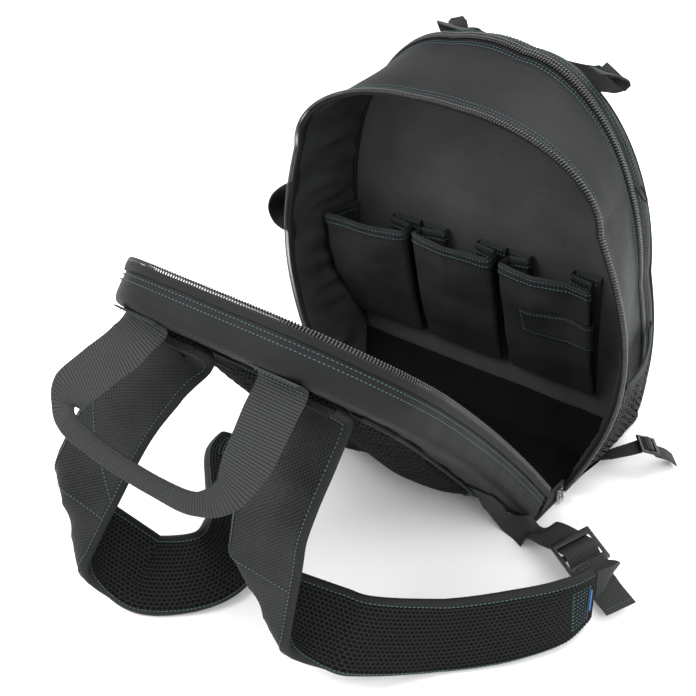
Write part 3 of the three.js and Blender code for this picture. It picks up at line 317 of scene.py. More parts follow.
def stitching(name: str, lines: Sequence[Line], stitch: Stitch = Stitch()) -> bpy.types.Object:
    """Rows of stitches along lines."""
    spots, frames = [], []
    for line in lines:
        spot, frame_rows = line.evenly(stitch.pitch)
        spots.append(spot + frame_rows[:, 2] * stitch.thick * 0.12)
        frames.append(frame_rows)
    deselect()
    bpy.ops.mesh.primitive_uv_sphere_add(segments=6, ring_count=4, radius=0.5)
    pattern = bpy.context.object
    shape = coords(pattern)[:, [2, 0, 1]]
    shape[:, 0] *= stitch.length
    shape[:, 1] *= stitch.thick
    shape[:, 2] *= stitch.thick * 0.8
    set_coords(pattern, shape)
    return copies(name, pattern, np.concatenate(spots), np.concatenate(frames))


@dataclass(frozen=True)
class Tooth:
    """One turn of a zip's coil, in millimetres."""

    pitch: float = 2.0
    wide: float = 4.2
    tall: float = 1.9
    thick: float = 0.62


def coil(name: str, lines: Sequence[Line], tooth: Tooth = Tooth()) -> bpy.types.Object:
    """Rows of coil turns. Each turn is a flattened ring across its line."""
    spots, frames = [], []
    for line in lines:
        spot, frame_rows = line.evenly(tooth.pitch)
        spots.append(spot)
        frames.append(frame_rows)
    deselect()
    bpy.ops.mesh.primitive_torus_add(
        major_segments=10, minor_segments=4, major_radius=0.5, minor_radius=tooth.thick / tooth.wide
    )
    pattern = bpy.context.object
    ring = coords(pattern)
    shape = np.stack([
        ring[:, 2] * tooth.wide + ring[:, 0] * tooth.pitch * 0.35,
        ring[:, 0] * tooth.wide,
        ring[:, 1] * tooth.tall,
    ], axis=1)
    set_coords(pattern, shape)
    return copies(name, pattern, np.concatenate(spots), np.concatenate(frames))


def tube(name: str, points: Array, radius: float, sides: int = 8) -> bpy.types.Object:
    """A round tube along points, with closed ends."""
    points = np.asarray(points, float)
    along = unit(np.gradient(points, axis=0))
    side = np.zeros_like(along)
    ref = np.array([0.0, 0.0, 1.0]) if abs(along[0][2]) < 0.9 else np.array([1.0, 0.0, 0.0])
    for i, t in enumerate(along):
        ref = ref - t * ref.dot(t)
        ref = ref / np.linalg.norm(ref)
        side[i] = ref
    other = np.cross(along, side)

    def place(u: Array, v: Array) -> Array:
        angle = u * 2 * np.pi
        shrink = np.where((v <= 0) | (v >= 1), 0.01, 1.0)
        around = sample(side, v) * np.cos(angle)[:, None] + sample(other, v) * np.sin(angle)[:, None]
        return sample(points, v) + around * (radius * shrink)[:, None]

    return grid(name, (sides, len(points) * 2), place, closed=True)


# Finishes

class Value:
    """A shader socket that takes part in Python expressions."""

    def __init__(self, shader: "Shader", socket: bpy.types.NodeSocket) -> None:
        """Wraps socket, an output in shader's node tree."""
        self.shader = shader
        self.socket = socket

    def math(self, operation: str, *others: "Value | float") -> "Value":
        """Math node of this value and others, in that order."""
        inputs = {i: other for i, other in enumerate((self, *others))}
        return self.shader.node("ShaderNodeMath", {"operation": operation}, inputs).out(0)

    def __add__(self, other: "Value | float") -> "Value":
        return self.math("ADD", other)

    def __radd__(self, other: float) -> "Value":
        return self.math("ADD", other)

    def __mul__(self, other: "Value | float") -> "Value":
        return self.math("MULTIPLY", other)

    def __rmul__(self, other: float) -> "Value":
        return self.math("MULTIPLY", other)

    def __sub__(self, other: "Value | float") -> "Value":
        return self.math("SUBTRACT", other)

    def __rsub__(self, other: float) -> "Value":
        return (self * -1.0) + other

    def __truediv__(self, other: "Value | float") -> "Value":
        return self.math("DIVIDE", other)

    def __neg__(self) -> "Value":
        return self * -1.0

    def __abs__(self) -> "Value":
        return self.math("ABSOLUTE")

    def __pow__(self, other: float) -> "Value":
        return self.math("POWER", other)

    def __mod__(self, other: float) -> "Value":
        return self.math("FLOORED_MODULO", other)

    def __gt__(self, other: float) -> "Value":
        return self.math("GREATER_THAN", other)

    def sine(self) -> "Value":
        """Sine of this value."""
        return self.math("SINE")

    def clamp(self, low: float = 0.0, high: float = 1.0) -> "Value":
        """This value kept between low and high."""
        return self.math("MAXIMUM", low).math("MINIMUM", high)

    def ramp(self, low: float, high: float) -> "Value":
        """0 below low, 1 above high, straight between."""
        return ((self - low) * (1.0 / (high - low))).clamp()


class Node:
    """A node whose outputs are read by number or name."""

    def __init__(self, shader: "Shader", node: bpy.types.Node) -> None:
        """Wraps node of shader."""
        self.shader = shader
        self.node = node

    def out(self, key: "int | str") -> Value:
        """Output socket as a value."""
        return Value(self.shader, self.node.outputs[key])


class Shader:
    """A material built node by node."""

    def __init__(self, name: str) -> None:
        """Starts an empty node material called name."""
        self.material = bpy.data.materials.new(f"look_{name}")
        self.material.use_nodes = True
        self.tree = self.material.node_tree
        self.tree.nodes.clear()

    def node(self, kind: str, settings: dict[str, object], inputs: dict) -> Node:
        """Adds a node: its settings first, then its sockets.

        Args:
            kind: Node type.
            settings: Properties of the node.
            inputs: Values or constants for sockets, by number or name.

        Returns:
            The node.
        """
        node = self.tree.nodes.new(kind)
        for key, value in settings.items():
            setattr(node, key, value)
        for key, value in inputs.items():
            if isinstance(value, Value):
                self.tree.links.new(value.socket, node.inputs[key])
            else:
                node.inputs[key].default_value = value
        return Node(self, node)

    def uv(self) -> tuple[Value, Value]:
        """The piece's own cloth coordinates, in metres."""
        node = self.node("ShaderNodeUVMap", {"uv_map": "UVMap"}, {})
        split = self.node("ShaderNodeSeparateXYZ", {}, {0: node.out("UV")})
        return split.out(0), split.out(1)

    def place(self) -> Value:
        """Object coordinates."""
        return self.node("ShaderNodeTexCoord", {}, {}).out("Object")

    def clouds(self, scale: float, detail: float = 2.0) -> Value:
        """Noise from 0 to 1 in object space, scale in lumps per metre."""
        inputs = {"Vector": self.place(), "Scale": scale, "Detail": detail}
        return self.node("ShaderNodeTexNoise", {}, inputs).out("Fac")

    def colour(self, factor: Value, a: Sequence[float], b: Sequence[float]) -> Value:
        """Mix of colours a and b."""
        inputs = {0: factor, 6: (*a, 1.0), 7: (*b, 1.0)}
        return self.node("ShaderNodeMix", {"data_type": "RGBA"}, inputs).out(2)

    def surface(
        self,
        colour: "Value | Sequence[float]",
        rough: "Value | float",
        height: Optional[Value] = None,
        depth: float = 0.0,
        metal: float = 0.0,
        gloss: float = 0.5,
        alpha: Optional[Value] = None,
    ) -> bpy.types.Material:
        """Ends the material with one principled surface.

        Args:
            colour: Base colour.
            rough: Roughness.
            height: Relief from 0 to 1.
            depth: Depth of the relief, in metres.
            metal: Metallic share.
            gloss: Strength of the highlight, where 0.5 is plain plastic.
            alpha: Cover of the surface.

        Returns:
            The material.
        """
        inputs: dict = {
            "Base Color": colour if isinstance(colour, Value) else (*colour, 1.0),
            "Roughness": rough,
            "Metallic": metal,
            "Specular IOR Level": gloss,
        }
        if height is not None:
            bump = {"Height": height, "Distance": depth, "Strength": 1.0}
            inputs["Normal"] = self.node("ShaderNodeBump", {}, bump).out(0)
        if alpha is not None:
            inputs["Alpha"] = alpha
        shader = self.node("ShaderNodeBsdfPrincipled", {}, inputs)
        self.node("ShaderNodeOutputMaterial", {}, {0: shader.out(0)})
        return self.material


@dataclass(frozen=True)
class Weave:
    """Plain or basket weave. Sizes in metres, colours linear."""

    name: str
    low: tuple[float, float, float]
    high: tuple[float, float, float]
    pitch: float = 0.0009
    depth: float = 0.00012
    rough: float = 0.62
    gloss: float = 0.10
    wrinkle: float = 0.0

    def build(self) -> bpy.types.Material:
        """Makes the material."""
        s = Shader(self.name)
        u, v = s.uv()
        turn = math.pi / self.pitch
        weave = (u * turn).sine() * (v * turn).sine()
        fine = ((u * (turn * 5)).sine() * (weave > 0.0) + (v * (turn * 5)).sine() * (weave * -1.0 > 0.0))
        wear = s.clouds(14.0, 3.0)
        dust = s.clouds(420.0, 2.0)
        factor = (wear.ramp(0.3, 0.7) * 0.4 + weave * 0.3 + dust * 0.3 + 0.06).clamp()
        colour = s.colour(factor, self.low, self.high)
        height = (abs(weave) ** 0.5) * 0.6 + fine * 0.12 + dust * 0.25
        if self.wrinkle:
            height = height + s.clouds(95.0, 3.0) * self.wrinkle
        rough = (dust * 0.16 + (self.rough - 0.08)).clamp(0.05, 1.0)
        return s.surface(colour, rough, height, self.depth, gloss=self.gloss)


@dataclass(frozen=True)
class Ribs:
    """Webbing or tape with ribs across its length, which runs along u; the rib crests are painted lighter
    as highlight and the grooves darker as shade.
    """

    name: str
    low: tuple[float, float, float]
    high: tuple[float, float, float]
    pitch: float = 0.0022
    depth: float = 0.0004
    rough: float = 0.6
    cross: float = 0.25
    grain: float = 0.0008
    gloss: float = 0.14

    def build(self) -> bpy.types.Material:
        """Makes the material."""
        s = Shader(self.name)
        u, v = s.uv()
        rib = abs((u * (math.pi / self.pitch)).sine())
        strand = abs((v * (math.pi / self.grain)).sine())
        dust = s.clouds(500.0, 2.0)
        # Colour follows the ribs: the lighter crests are painted highlight and the near-black grooves
        # painted shade; strands and dust vary the tone.
        factor = (rib * 0.6 + strand * self.cross + dust * 0.35 - 0.12).clamp()
        colour = s.colour(factor, self.low, self.high)
        height = (rib ** 0.6) * 0.7 + strand * self.cross + dust * 0.1
        return s.surface(colour, self.rough, height, self.depth, gloss=self.gloss)


@dataclass(frozen=True)
class Spacer:
    """Spacer mesh: knitted cloth with rows of small cells, whose near-black colour is painted shade in the
    holes.
    """

    name: str
    low: tuple[float, float, float]
    high: tuple[float, float, float]
    pitch: float = 0.0043
    depth: float = 0.0014

    def cells(self, s: Shader) -> Value:
        """Height of the cells' rims, in a brick-like pattern."""
        u, v = s.uv()
        row = v / (self.pitch * 0.86)
        shift = ((row * 0.5) % 1.0 > 0.5) * 0.5
        a = abs(((u / self.pitch + shift) % 1.0) - 0.5)
        b = abs((row % 1.0) - 0.5)
        return ((a * a + b * b) ** 0.5).ramp(0.3, 0.46)

    def build(self) -> bpy.types.Material:
        """Makes the material."""
        s = Shader(self.name)
        rim = self.cells(s)
        dust = s.clouds(380.0, 2.0)
        # Colour follows the rims: near black in the cells as painted shade in the holes, lighter on the
        # rims.
        colour = s.colour((rim * 0.75 + dust * 0.4 - 0.1).clamp(), self.low, self.high)
        return s.surface(colour, 0.8, rim + dust * 0.2, self.depth, gloss=0.08)


@dataclass(frozen=True)
class OpenNet(Spacer):
    """Net whose cells are open."""

    def build(self) -> bpy.types.Material:
        """Makes the material."""
        s = Shader(self.name)
        rim = self.cells(s)
        return s.surface(self.high, 0.7, rim, self.depth, gloss=0.3, alpha=(rim > 0.3))


@dataclass(frozen=True)
class Plain:
    """Thread, plastic or metal with a fine uneven surface."""

    name: str
    low: tuple[float, float, float]
    high: tuple[float, float, float]
    rough: float = 0.5
    metal: float = 0.0
    scale: float = 300.0
    depth: float = 0.00005

    def build(self) -> bpy.types.Material:
        """Makes the material."""
        s = Shader(self.name)
        dust = s.clouds(self.scale, 3.0)
        colour = s.colour(dust.ramp(0.3, 0.7), self.low, self.high)
        rough = (dust * 0.2 + (self.rough - 0.1)).clamp(0.05, 1.0)
        return s.surface(colour, rough, dust, self.depth, metal=self.metal)


class Finish(Enum):
    """The finishes. Each holds its settings and the record's slot it stands for."""

    COATED = (Weave("coated_cloth", (0.0070, 0.0076, 0.0075), (0.0160, 0.0170, 0.0168),
                    pitch=0.0008, depth=0.00010, rough=0.55, wrinkle=1.2), "coated_cloth")
    WOVEN = (Weave("ballistic_cloth", (0.0030, 0.0032, 0.0032), (0.0440, 0.0455, 0.0455),
                   pitch=0.0019, depth=0.0005, rough=0.62), "woven_cloth")
    LINING = (Weave("lining_cloth", (0.0150, 0.0160, 0.0160), (0.0420, 0.0440, 0.0435),
                    pitch=0.0010, depth=0.00016, rough=0.6, wrinkle=1.8), "lining")
    # Lighter copy of the lining: painted light where the lamps fall on the divider.
    DIVIDER = (Weave("divider_cloth_painted_light", (0.0300, 0.0310, 0.0310), (0.0720, 0.0735, 0.0735),
                     pitch=0.0012, depth=0.0002, rough=0.6, wrinkle=1.4), "lining")
    POCKET = (Weave("pocket_cloth", (0.0090, 0.0093, 0.0094), (0.0290, 0.0296, 0.0298),
                    pitch=0.0012, depth=0.0002, rough=0.58, wrinkle=1.4), "lining")
    # Near-black copy of the lining: painted shade on the floor deep inside the bag.
    FLOOR = (Weave("floor_cloth_painted_shade", (0.0018, 0.0019, 0.0020), (0.0060, 0.0062, 0.0064),
                   pitch=0.0012, depth=0.0002, rough=0.8, gloss=0.03, wrinkle=1.4), "lining")
    # The low colour is painted shade in the mesh's cells.
    SPACER = (Spacer("spacer_mesh", (0.0005, 0.0005, 0.0005), (0.0170, 0.0175, 0.0176)), "spacer_mesh")
    NET = (OpenNet("net_cloth", (0.006, 0.006, 0.006), (0.0060, 0.0062, 0.0064), pitch=0.0056), "net")
    # The low colour is painted shade in the ribs' grooves, the high colour painted highlight on their
    # crests.
    WEBBING = (Ribs("webbing_black", (0.0010, 0.0010, 0.0010), (0.0400, 0.0420, 0.0415),
                    pitch=0.0026, depth=0.0009, cross=0.4, grain=0.0017), "webbing")
    BINDING = (Ribs("binding_tape", (0.0030, 0.0030, 0.0031), (0.0150, 0.0154, 0.0157),
                    pitch=0.0012, depth=0.0002), "webbing")
    TAPE = (Ribs("zip_tape", (0.0025, 0.0025, 0.0026), (0.0120, 0.0123, 0.0125),
                 pitch=0.0014, depth=0.0002, cross=0.4), "zip")
    COIL = (Plain("zip_coil", (0.012, 0.012, 0.012), (0.022, 0.022, 0.022), rough=0.2), "zip")
    THREAD = (Plain("thread_teal", (0.022, 0.062, 0.070), (0.050, 0.112, 0.122),
                    rough=0.6, scale=900.0), "woven_cloth")
    TACK = (Plain("thread_blue", (0.012, 0.070, 0.240), (0.035, 0.150, 0.400),
                  rough=0.6, scale=900.0), "woven_cloth")
    CORD = (Ribs("cord_black", (0.003, 0.003, 0.003), (0.014, 0.014, 0.014), pitch=0.0012), "cord")
    PLASTIC = (Plain("black_plastic", (0.004, 0.004, 0.0042), (0.007, 0.007, 0.0072),
                     rough=0.4, scale=1500.0), "black_plastic")
    NICKEL = (Plain("nickel_plate", (0.42, 0.41, 0.39), (0.58, 0.57, 0.55),
                    rough=0.28, metal=1.0, scale=120.0), "nickel")

    @property
    def material(self) -> bpy.types.Material:
        """The material, built when it is first used."""
        settings = self.value[0]
        return bpy.data.materials.get(f"look_{settings.name}") or settings.build()

    @property
    def slot(self) -> str:
        """The record's slot."""
        return self.value[1]


def dress(
    obj: bpy.types.Object,
    *finishes: Finish,
    nodes: Sequence[str] = (),
    body: str = "bag",
) -> bpy.types.Object:
    """Gives a piece its finishes and its body, and hides the CAD nodes it stands for."""
    zones = np.zeros(len(obj.data.polygons), dtype=np.int32)
    obj.data.polygons.foreach_get("material_index", zones)
    obj.data.materials.clear()
    for finish in finishes:
        obj.data.materials.append(finish.material)
    obj.data.polygons.foreach_set("material_index", np.minimum(zones, len(finishes) - 1))
    points = coords(obj)
    points[:, 2] = np.maximum(points[:, 2], 0.0)
    set_coords(obj, points)
    if nodes:
        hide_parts(*nodes)
    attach(obj, body)
    return obj


# Shape of the bag

@dataclass(frozen=True)
class Arch:
    """Open arch in the XZ plane, from its left foot to its right foot, in millimetres."""

    half: float
    height: float
    bow_left: float
    bow_right: float
    corner_x: float
    corner_z: float
    crown: float
    lean: float

    def line(self, bottom: float, steps: int = 880) -> Array:
        """Evenly spaced points, as rows of x and z."""
        straight = self.height - self.corner_z
        rise = np.linspace(0, 1, 41)
        turn = rise[1:] * np.pi / 2
        crown = np.linspace(0, 1, 11)[1:-1]

        def one_side(bow: float) -> Array:
            low = self.half + bow * np.sin(np.pi * rise * 0.9)
            centre = low[-1] - self.corner_x
            x = np.concatenate([low, centre + self.corner_x * np.cos(turn)])
            z = np.concatenate([rise * straight, straight + self.corner_z * np.sin(turn)])
            return np.stack([x, z + bottom], axis=1)

        left, right = one_side(self.bow_left), one_side(self.bow_right)
        left[:, 0] *= -1
        top = np.stack([
            lerp(left[-1, 0], right[-1, 0], crown),
            bottom + self.height + self.crown * 4 * crown * (1 - crown),
        ], axis=1)
        points = np.concatenate([left, top, right[::-1]])
        return evenly(points, steps)


def evenly(points: Array, steps: int) -> Array:
    """Points resampled evenly along their line."""
    reach = np.concatenate([[0], np.cumsum(np.linalg.norm(np.diff(points, axis=0), axis=1))])
    at = np.linspace(0, reach[-1], steps + 1)
    return np.stack([np.interp(at, reach, points[:, i]) for i in range(points.shape[1])], axis=1)


def sample(rows: Array, s: Array) -> Array:
    """Rows read at shares s of their count."""
    at = np.linspace(0, 1, len(rows))
    return np.stack([np.interp(s, at, rows[:, i]) for i in range(rows.shape[1])], axis=-1)


@dataclass(frozen=True)
class BagShape:
    """The bag's side surface between its two arches. Millimetres."""

    rim: Arch = Arch(159, 395, 40, 51, 148, 86, 1, 2.4)
    front: Arch = Arch(165, 422, 17, 13, 131, 218, 6, 6.2)
    depth: float = 123.0
    floor: float = 8.4
    front_depth: float = 56.0
    front_start: float = 128.4

    def lines(self) -> tuple[Array, Array, Array, Array]:
        """Points and outward directions of the two arches, kept once they are made."""
        if self not in _ARCH_LINES:
            made = []
            for arch in (self.rim, self.front):
                line = arch.line(self.floor)
                run = unit(np.gradient(line, axis=0))
                made += [line, np.stack([-run[:, 1], run[:, 0]], axis=1)]
            _ARCH_LINES[self] = tuple(made)
        return _ARCH_LINES[self]

    def side(self, s: Array, depth: Array, lift: Array = 0.0) -> Array:
        """Points of the side surface.

        Args:
            s: Share of the way along the arch, from the left foot.
            depth: Distance from the rim at the base.
            lift: Distance outwards.

        Returns:
            Points.
        """
        s, depth, lift = np.broadcast_arrays(np.asarray(s, float), depth, lift)
        rim, rim_out, front, front_out = self.lines()
        share = depth / self.depth
        flat = lerp(sample(rim, s), sample(front, s), share)
        out = unit(lerp(sample(rim_out, s), sample(front_out, s), share))
        flat = flat + out * lift[..., None]
        low, high = math.tan(math.radians(self.rim.lean)), math.tan(math.radians(self.front.lean))
        lean = low + (high - low) * share
        return vec(flat[..., 0], depth - (flat[..., 1] - self.floor) * lean, flat[..., 1])

    def at_height(self, side: int, z: Array, depth: Array, lift: Array = 0.0) -> Array:
        """Points of the side surface found by their height. side is -1 left, 1 right."""
        z, depth, lift = np.broadcast_arrays(np.asarray(z, float), depth, lift)
        inside = np.minimum(depth, self.depth)
        s = np.linspace(0, 0.5, 161) if side < 0 else np.linspace(1, 0.5, 161)
        rows = []
        for height, deep, out in zip(z.ravel(), inside.ravel(), lift.ravel()):
            line = self.side(s, deep, out)
            rows.append([np.interp(height, line[:, 2], line[:, i]) for i in range(3)])
        points = np.array(rows).reshape(*z.shape, 3)
        points[..., 1] += depth - inside
        return points

    def face(self, s: Array, row: Array, lift: Array = 0.0) -> Array:
        """Points of the front compartment. row runs from 0 at the zip to 1 at the face's foot."""
        deep = curve(row, FRONT_ROWS[0], FRONT_ROWS[1])
        size = np.clip(curve(row, FRONT_ROWS[0], FRONT_ROWS[2]), 0, 1)
        _, _, front, front_out = self.lines()
        point = sample(front, s) + sample(front_out, s) * (np.asarray(lift) * size)[..., None]
        x, z = point[..., 0] * size, self.floor + (point[..., 1] - self.floor) * size
        reach = self.front_depth - (self.front_start - self.depth)
        swell = np.asarray(lift) * (1 - size**4)
        lean = math.tan(math.radians(self.front.lean))
        y = self.front_start + deep * reach + swell - (z - self.floor) * lean
        return vec(x, y, z)

    def run(self, depth: float, lift: float = 0.3, ends: tuple[float, float] = (0.0, 1.0)) -> Line:
        """Line at one depth, for stitches and teeth."""
        s = np.linspace(*ends, 700)
        points = self.side(s, depth, lift)
        return Line(points, unit(self.side(s, depth, lift + 1) - points))

    def face_run(self, row: float, lift: float = 0.3, ends: tuple[float, float] = (0.0, 1.0)) -> Line:
        """Line at one row of the front compartment."""
        s = np.linspace(*ends, 700)
        at = np.full_like(s, row)
        points = self.face(s, at, np.full_like(s, lift))
        return Line(points, unit(self.face(s, at, np.full_like(s, lift + 1)) - points))


_ARCH_LINES: dict[BagShape, tuple] = {}
FRONT_ROWS = (
    (0.0, 0.16, 0.3, 0.42, 0.54, 0.68, 0.82, 0.92, 1.0),
    (0.0, 0.36, 0.58, 0.76, 0.9, 0.98, 1.02, 1.03, 1.03),
    (1.0, 0.998, 0.976, 0.935, 0.865, 0.73, 0.5, 0.25, 0.0),
)
SHAPE = BagShape()


@dataclass(frozen=True)
class PanelShape:
    """The folded back panel: across, along its face and out of its zip plane. Millimetres."""

    half: float = 159.0
    height: float = 433.0
    corner_x: float = 96.0
    corner_z: float = 126.0
    foot: float = 14.0
    hinge_y: float = -28.5
    hinge_z: float = 22.4
    tilt_low: float = math.radians(36.3)
    tilt_high: float = math.radians(46.4)
    band: float = 38.0

    def point(self, x: Array, along: Array, out: Array) -> Array:
        """Points of the panel."""
        angle = lerp(self.tilt_low, self.tilt_high, np.asarray(along, float) / self.height)
        radius = self.height / (self.tilt_high - self.tilt_low)
        y = self.hinge_y - radius * (math.cos(self.tilt_low) - np.cos(angle))
        z = self.hinge_z + radius * (np.sin(angle) - math.sin(self.tilt_low))
        return vec(x, y - out * np.cos(angle), z - out * np.sin(angle))

    def axes(self, along: float) -> tuple[Array, Array]:
        """Directions up the face and out of the outer side."""
        angle = self.tilt_low + (self.tilt_high - self.tilt_low) * along / self.height
        up = np.array([0.0, -math.sin(angle), math.cos(angle)])
        return up, np.array([0.0, -math.cos(angle), -math.sin(angle)])

    def outline(self) -> Array:
        """Closed outline as rows of x and along, from the foot's middle, right side first."""
        if self not in _OUTLINES:
            points = [np.zeros((1, 2))]
            turn = np.linspace(0, np.pi / 2, 25)
            high = self.height - self.corner_z
            across = self.half - self.corner_x
            for cx, cy, rx, ry, start in (
                (self.half - self.foot, self.foot, self.foot, self.foot, -np.pi / 2),
                (across, high, self.corner_x, self.corner_z, 0.0),
                (-across, high, self.corner_x, self.corner_z, np.pi / 2),
                (-self.half + self.foot, self.foot, self.foot, self.foot, np.pi),
            ):
                angle = start + turn
                points.append(np.stack([cx + rx * np.cos(angle), cy + ry * np.sin(angle)], axis=1))
            points.append(np.zeros((1, 2)))
            _OUTLINES[self] = evenly(np.concatenate(points), 1000)
        return _OUTLINES[self]

    def ring(self, s: Array, out: Array, inset: Array) -> Array:
        """Points of the outline at share s of its length, out of the zip plane and inset."""
        flat = sample(self.outline(), s)
        middle = self.height / 2
        x = flat[..., 0] * (1 - inset / self.half)
        along = middle + (flat[..., 1] - middle) * (1 - inset / middle)
        return self.point(x, along, out)

    def run(self, out: float, lift: float, ends: tuple[float, float]) -> Line:
        """Line round the panel's edge, lifted off it."""
        s = np.linspace(*ends, 900)
        points = self.ring(s, out, -lift)
        return Line(points, unit(self.ring(s, out, -lift - 1) - points))


_OUTLINES: dict[PanelShape, Array] = {}
PANEL = PanelShape()
PANEL_ENDS = (0.118, 0.882)


# Bands: straps and webbings that follow stations

@dataclass(frozen=True)
class Station:
    """A place on a band: its centre, the direction of its width, its width and thickness."""

    centre: Array
    wide: Array
    width: float
    thick: float = 1.8


class Strip:
    """A band along a smooth line, read by row, by share across it and by height off it."""

    def __init__(self, stations: Sequence[Station], per_span: int = 10) -> None:
        """Fits a smooth line through stations."""
        self.stations = list(stations)
        self.spans = len(self.stations) - 1
        rows = [self._frame(i / per_span) for i in range(self.spans * per_span + 1)]
        self.centre = np.array([r[0] for r in rows])
        self.tangent = np.array([r[1] for r in rows])
        self.wide = np.array([r[2] for r in rows])
        self.face = unit(np.cross(self.tangent, self.wide))
        self.width = np.array([r[3] for r in rows])
        self.thick = np.array([r[4] for r in rows])

    def _frame(self, t: float) -> tuple:
        """Centre, tangent, width direction, width and thickness at station number t."""
        k = min(self.spans - 1, int(t + 1e-9))
        local = t - k
        p = [s.centre for s in self.stations]
        a, b = p[k], p[k + 1]
        before = p[k - 1] if k > 0 else 2 * a - b
        after = p[k + 2] if k + 2 < len(p) else 2 * b - a
        d0, d1, d2 = (max(1e-4, np.linalg.norm(n - m) ** 0.5) for m, n in ((before, a), (a, b), (b, after)))
        m0 = ((a - before) / d0 - (b - before) / (d0 + d1) + (b - a) / d1) * d1
        m1 = ((b - a) / d1 - (after - a) / (d1 + d2) + (after - b) / d2) * d1
        c2, c3 = -3 * a + 3 * b - 2 * m0 - m1, 2 * a - 2 * b + m0 + m1
        point = a + m0 * local + c2 * local**2 + c3 * local**3
        tangent = m0 + 2 * c2 * local + 3 * c3 * local**2
        tangent = tangent / np.linalg.norm(tangent)
        one, two = self.stations[k], self.stations[k + 1]
        wide = one.wide + (two.wide - one.wide) * local
        wide = wide - tangent * wide.dot(tangent)
        width = one.width + (two.width - one.width) * local
        thick = one.thick + (two.thick - one.thick) * local
        return point, tangent, wide / np.linalg.norm(wide), width, thick

    def at(self, row: Array, across: Array, up: Array) -> Array:
        """Points at shares of the rows, shares of half the width and heights off the middle."""
        row, across, up = np.broadcast_arrays(np.asarray(row, float), across, up)
        half = np.interp(row, np.linspace(0, 1, len(self.width)), self.width) / 2
        return (
            sample(self.centre, row)
            + sample(self.wide, row) * (across * half)[..., None]
            + sample(self.face, row) * up[..., None]
        )

    def depth(self, row: Array) -> Array:
        """Thickness at shares of the rows."""
        return np.interp(row, np.linspace(0, 1, len(self.thick)), self.thick)

    def trace(self, rows: Array, across: Array, up: float) -> Line:
        """Line through places on the band. A negative height runs it on the lower face."""
        rows, across = np.broadcast_arrays(np.asarray(rows, float), np.asarray(across, float))
        points = self.at(rows, across, np.full(rows.shape, up))
        off = self.at(rows, across, np.full(rows.shape, up + math.copysign(1, up)))
        return Line(points, unit(off - points))

    def length(self) -> float:
        """Length of the middle line, in millimetres."""
        line = self.at(np.linspace(0, 1, 400), 0.0, 0.0)
        return float(np.linalg.norm(np.diff(line, axis=0), axis=1).sum())


def stations(rows: Sequence[Sequence[float]], width: float, thick: float = 1.8) -> list[Station]:
    """Stations from rows of x, y, z, the width's direction and a share of the width."""
    made = []
    for x, y, z, wx, wy, wz, *share in rows:
        wide = np.array([wx, wy, wz], float)
        size = width * (share[0] if share else 1.0)
        made.append(Station(np.array([x, y, z], float), wide / np.linalg.norm(wide), size, thick))
    return made


Section = Callable[[Array], tuple[Array, Array]]


def flat_section(v: Array) -> tuple[Array, Array]:
    """Closed section of a flat band with softly rounded edges: share across and share up."""
    angle = v * 2 * np.pi
    c, s = np.cos(angle), np.sin(angle)
    across = np.sign(c) * np.abs(c) ** 0.35
    up = np.sign(s) * np.abs(s) ** 0.35 * 0.5
    return across, up


def sweep(
    name: str,
    strip: Strip,
    cells: tuple[int, int],
    section: Section = flat_section,
    thick: Optional[float] = None,
    relief: Optional[Callable[[Array, Array, Array], Array]] = None,
    zones: Optional[Callable[[Array, Array], Array]] = None,
) -> bpy.types.Object:
    """A closed body along a strip.

    Args:
        name: Name of the piece.
        strip: The band's line.
        cells: Cells along and around.
        section: Closed section: shares across and up for v from 0 to 1.
        thick: Thickness, or the stations' own.
        relief: Extra height in millimetres for a row, share across and share up.
        zones: Material index of each cell.

    Returns:
        The piece, with closed ends.
    """
    def place(u: Array, v: Array) -> Array:
        row = np.clip((u * (cells[0] + 2) - 1) / cells[0], 0, 1)
        across, up = section(v)
        end = (u < 0.5 / (cells[0] + 2)) | (u > 1 - 0.5 / (cells[0] + 2))
        height = up * (strip.depth(row) if thick is None else thick)
        if relief is not None:
            height = height + relief(row, across, up)
        return strip.at(row, np.where(end, across * 0.98, across), np.where(end, height * 0.01, height))

    return smooth(grid(name, (cells[0] + 2, cells[1]), place, closed=True, zones=zones), 50)


# The bag's walls

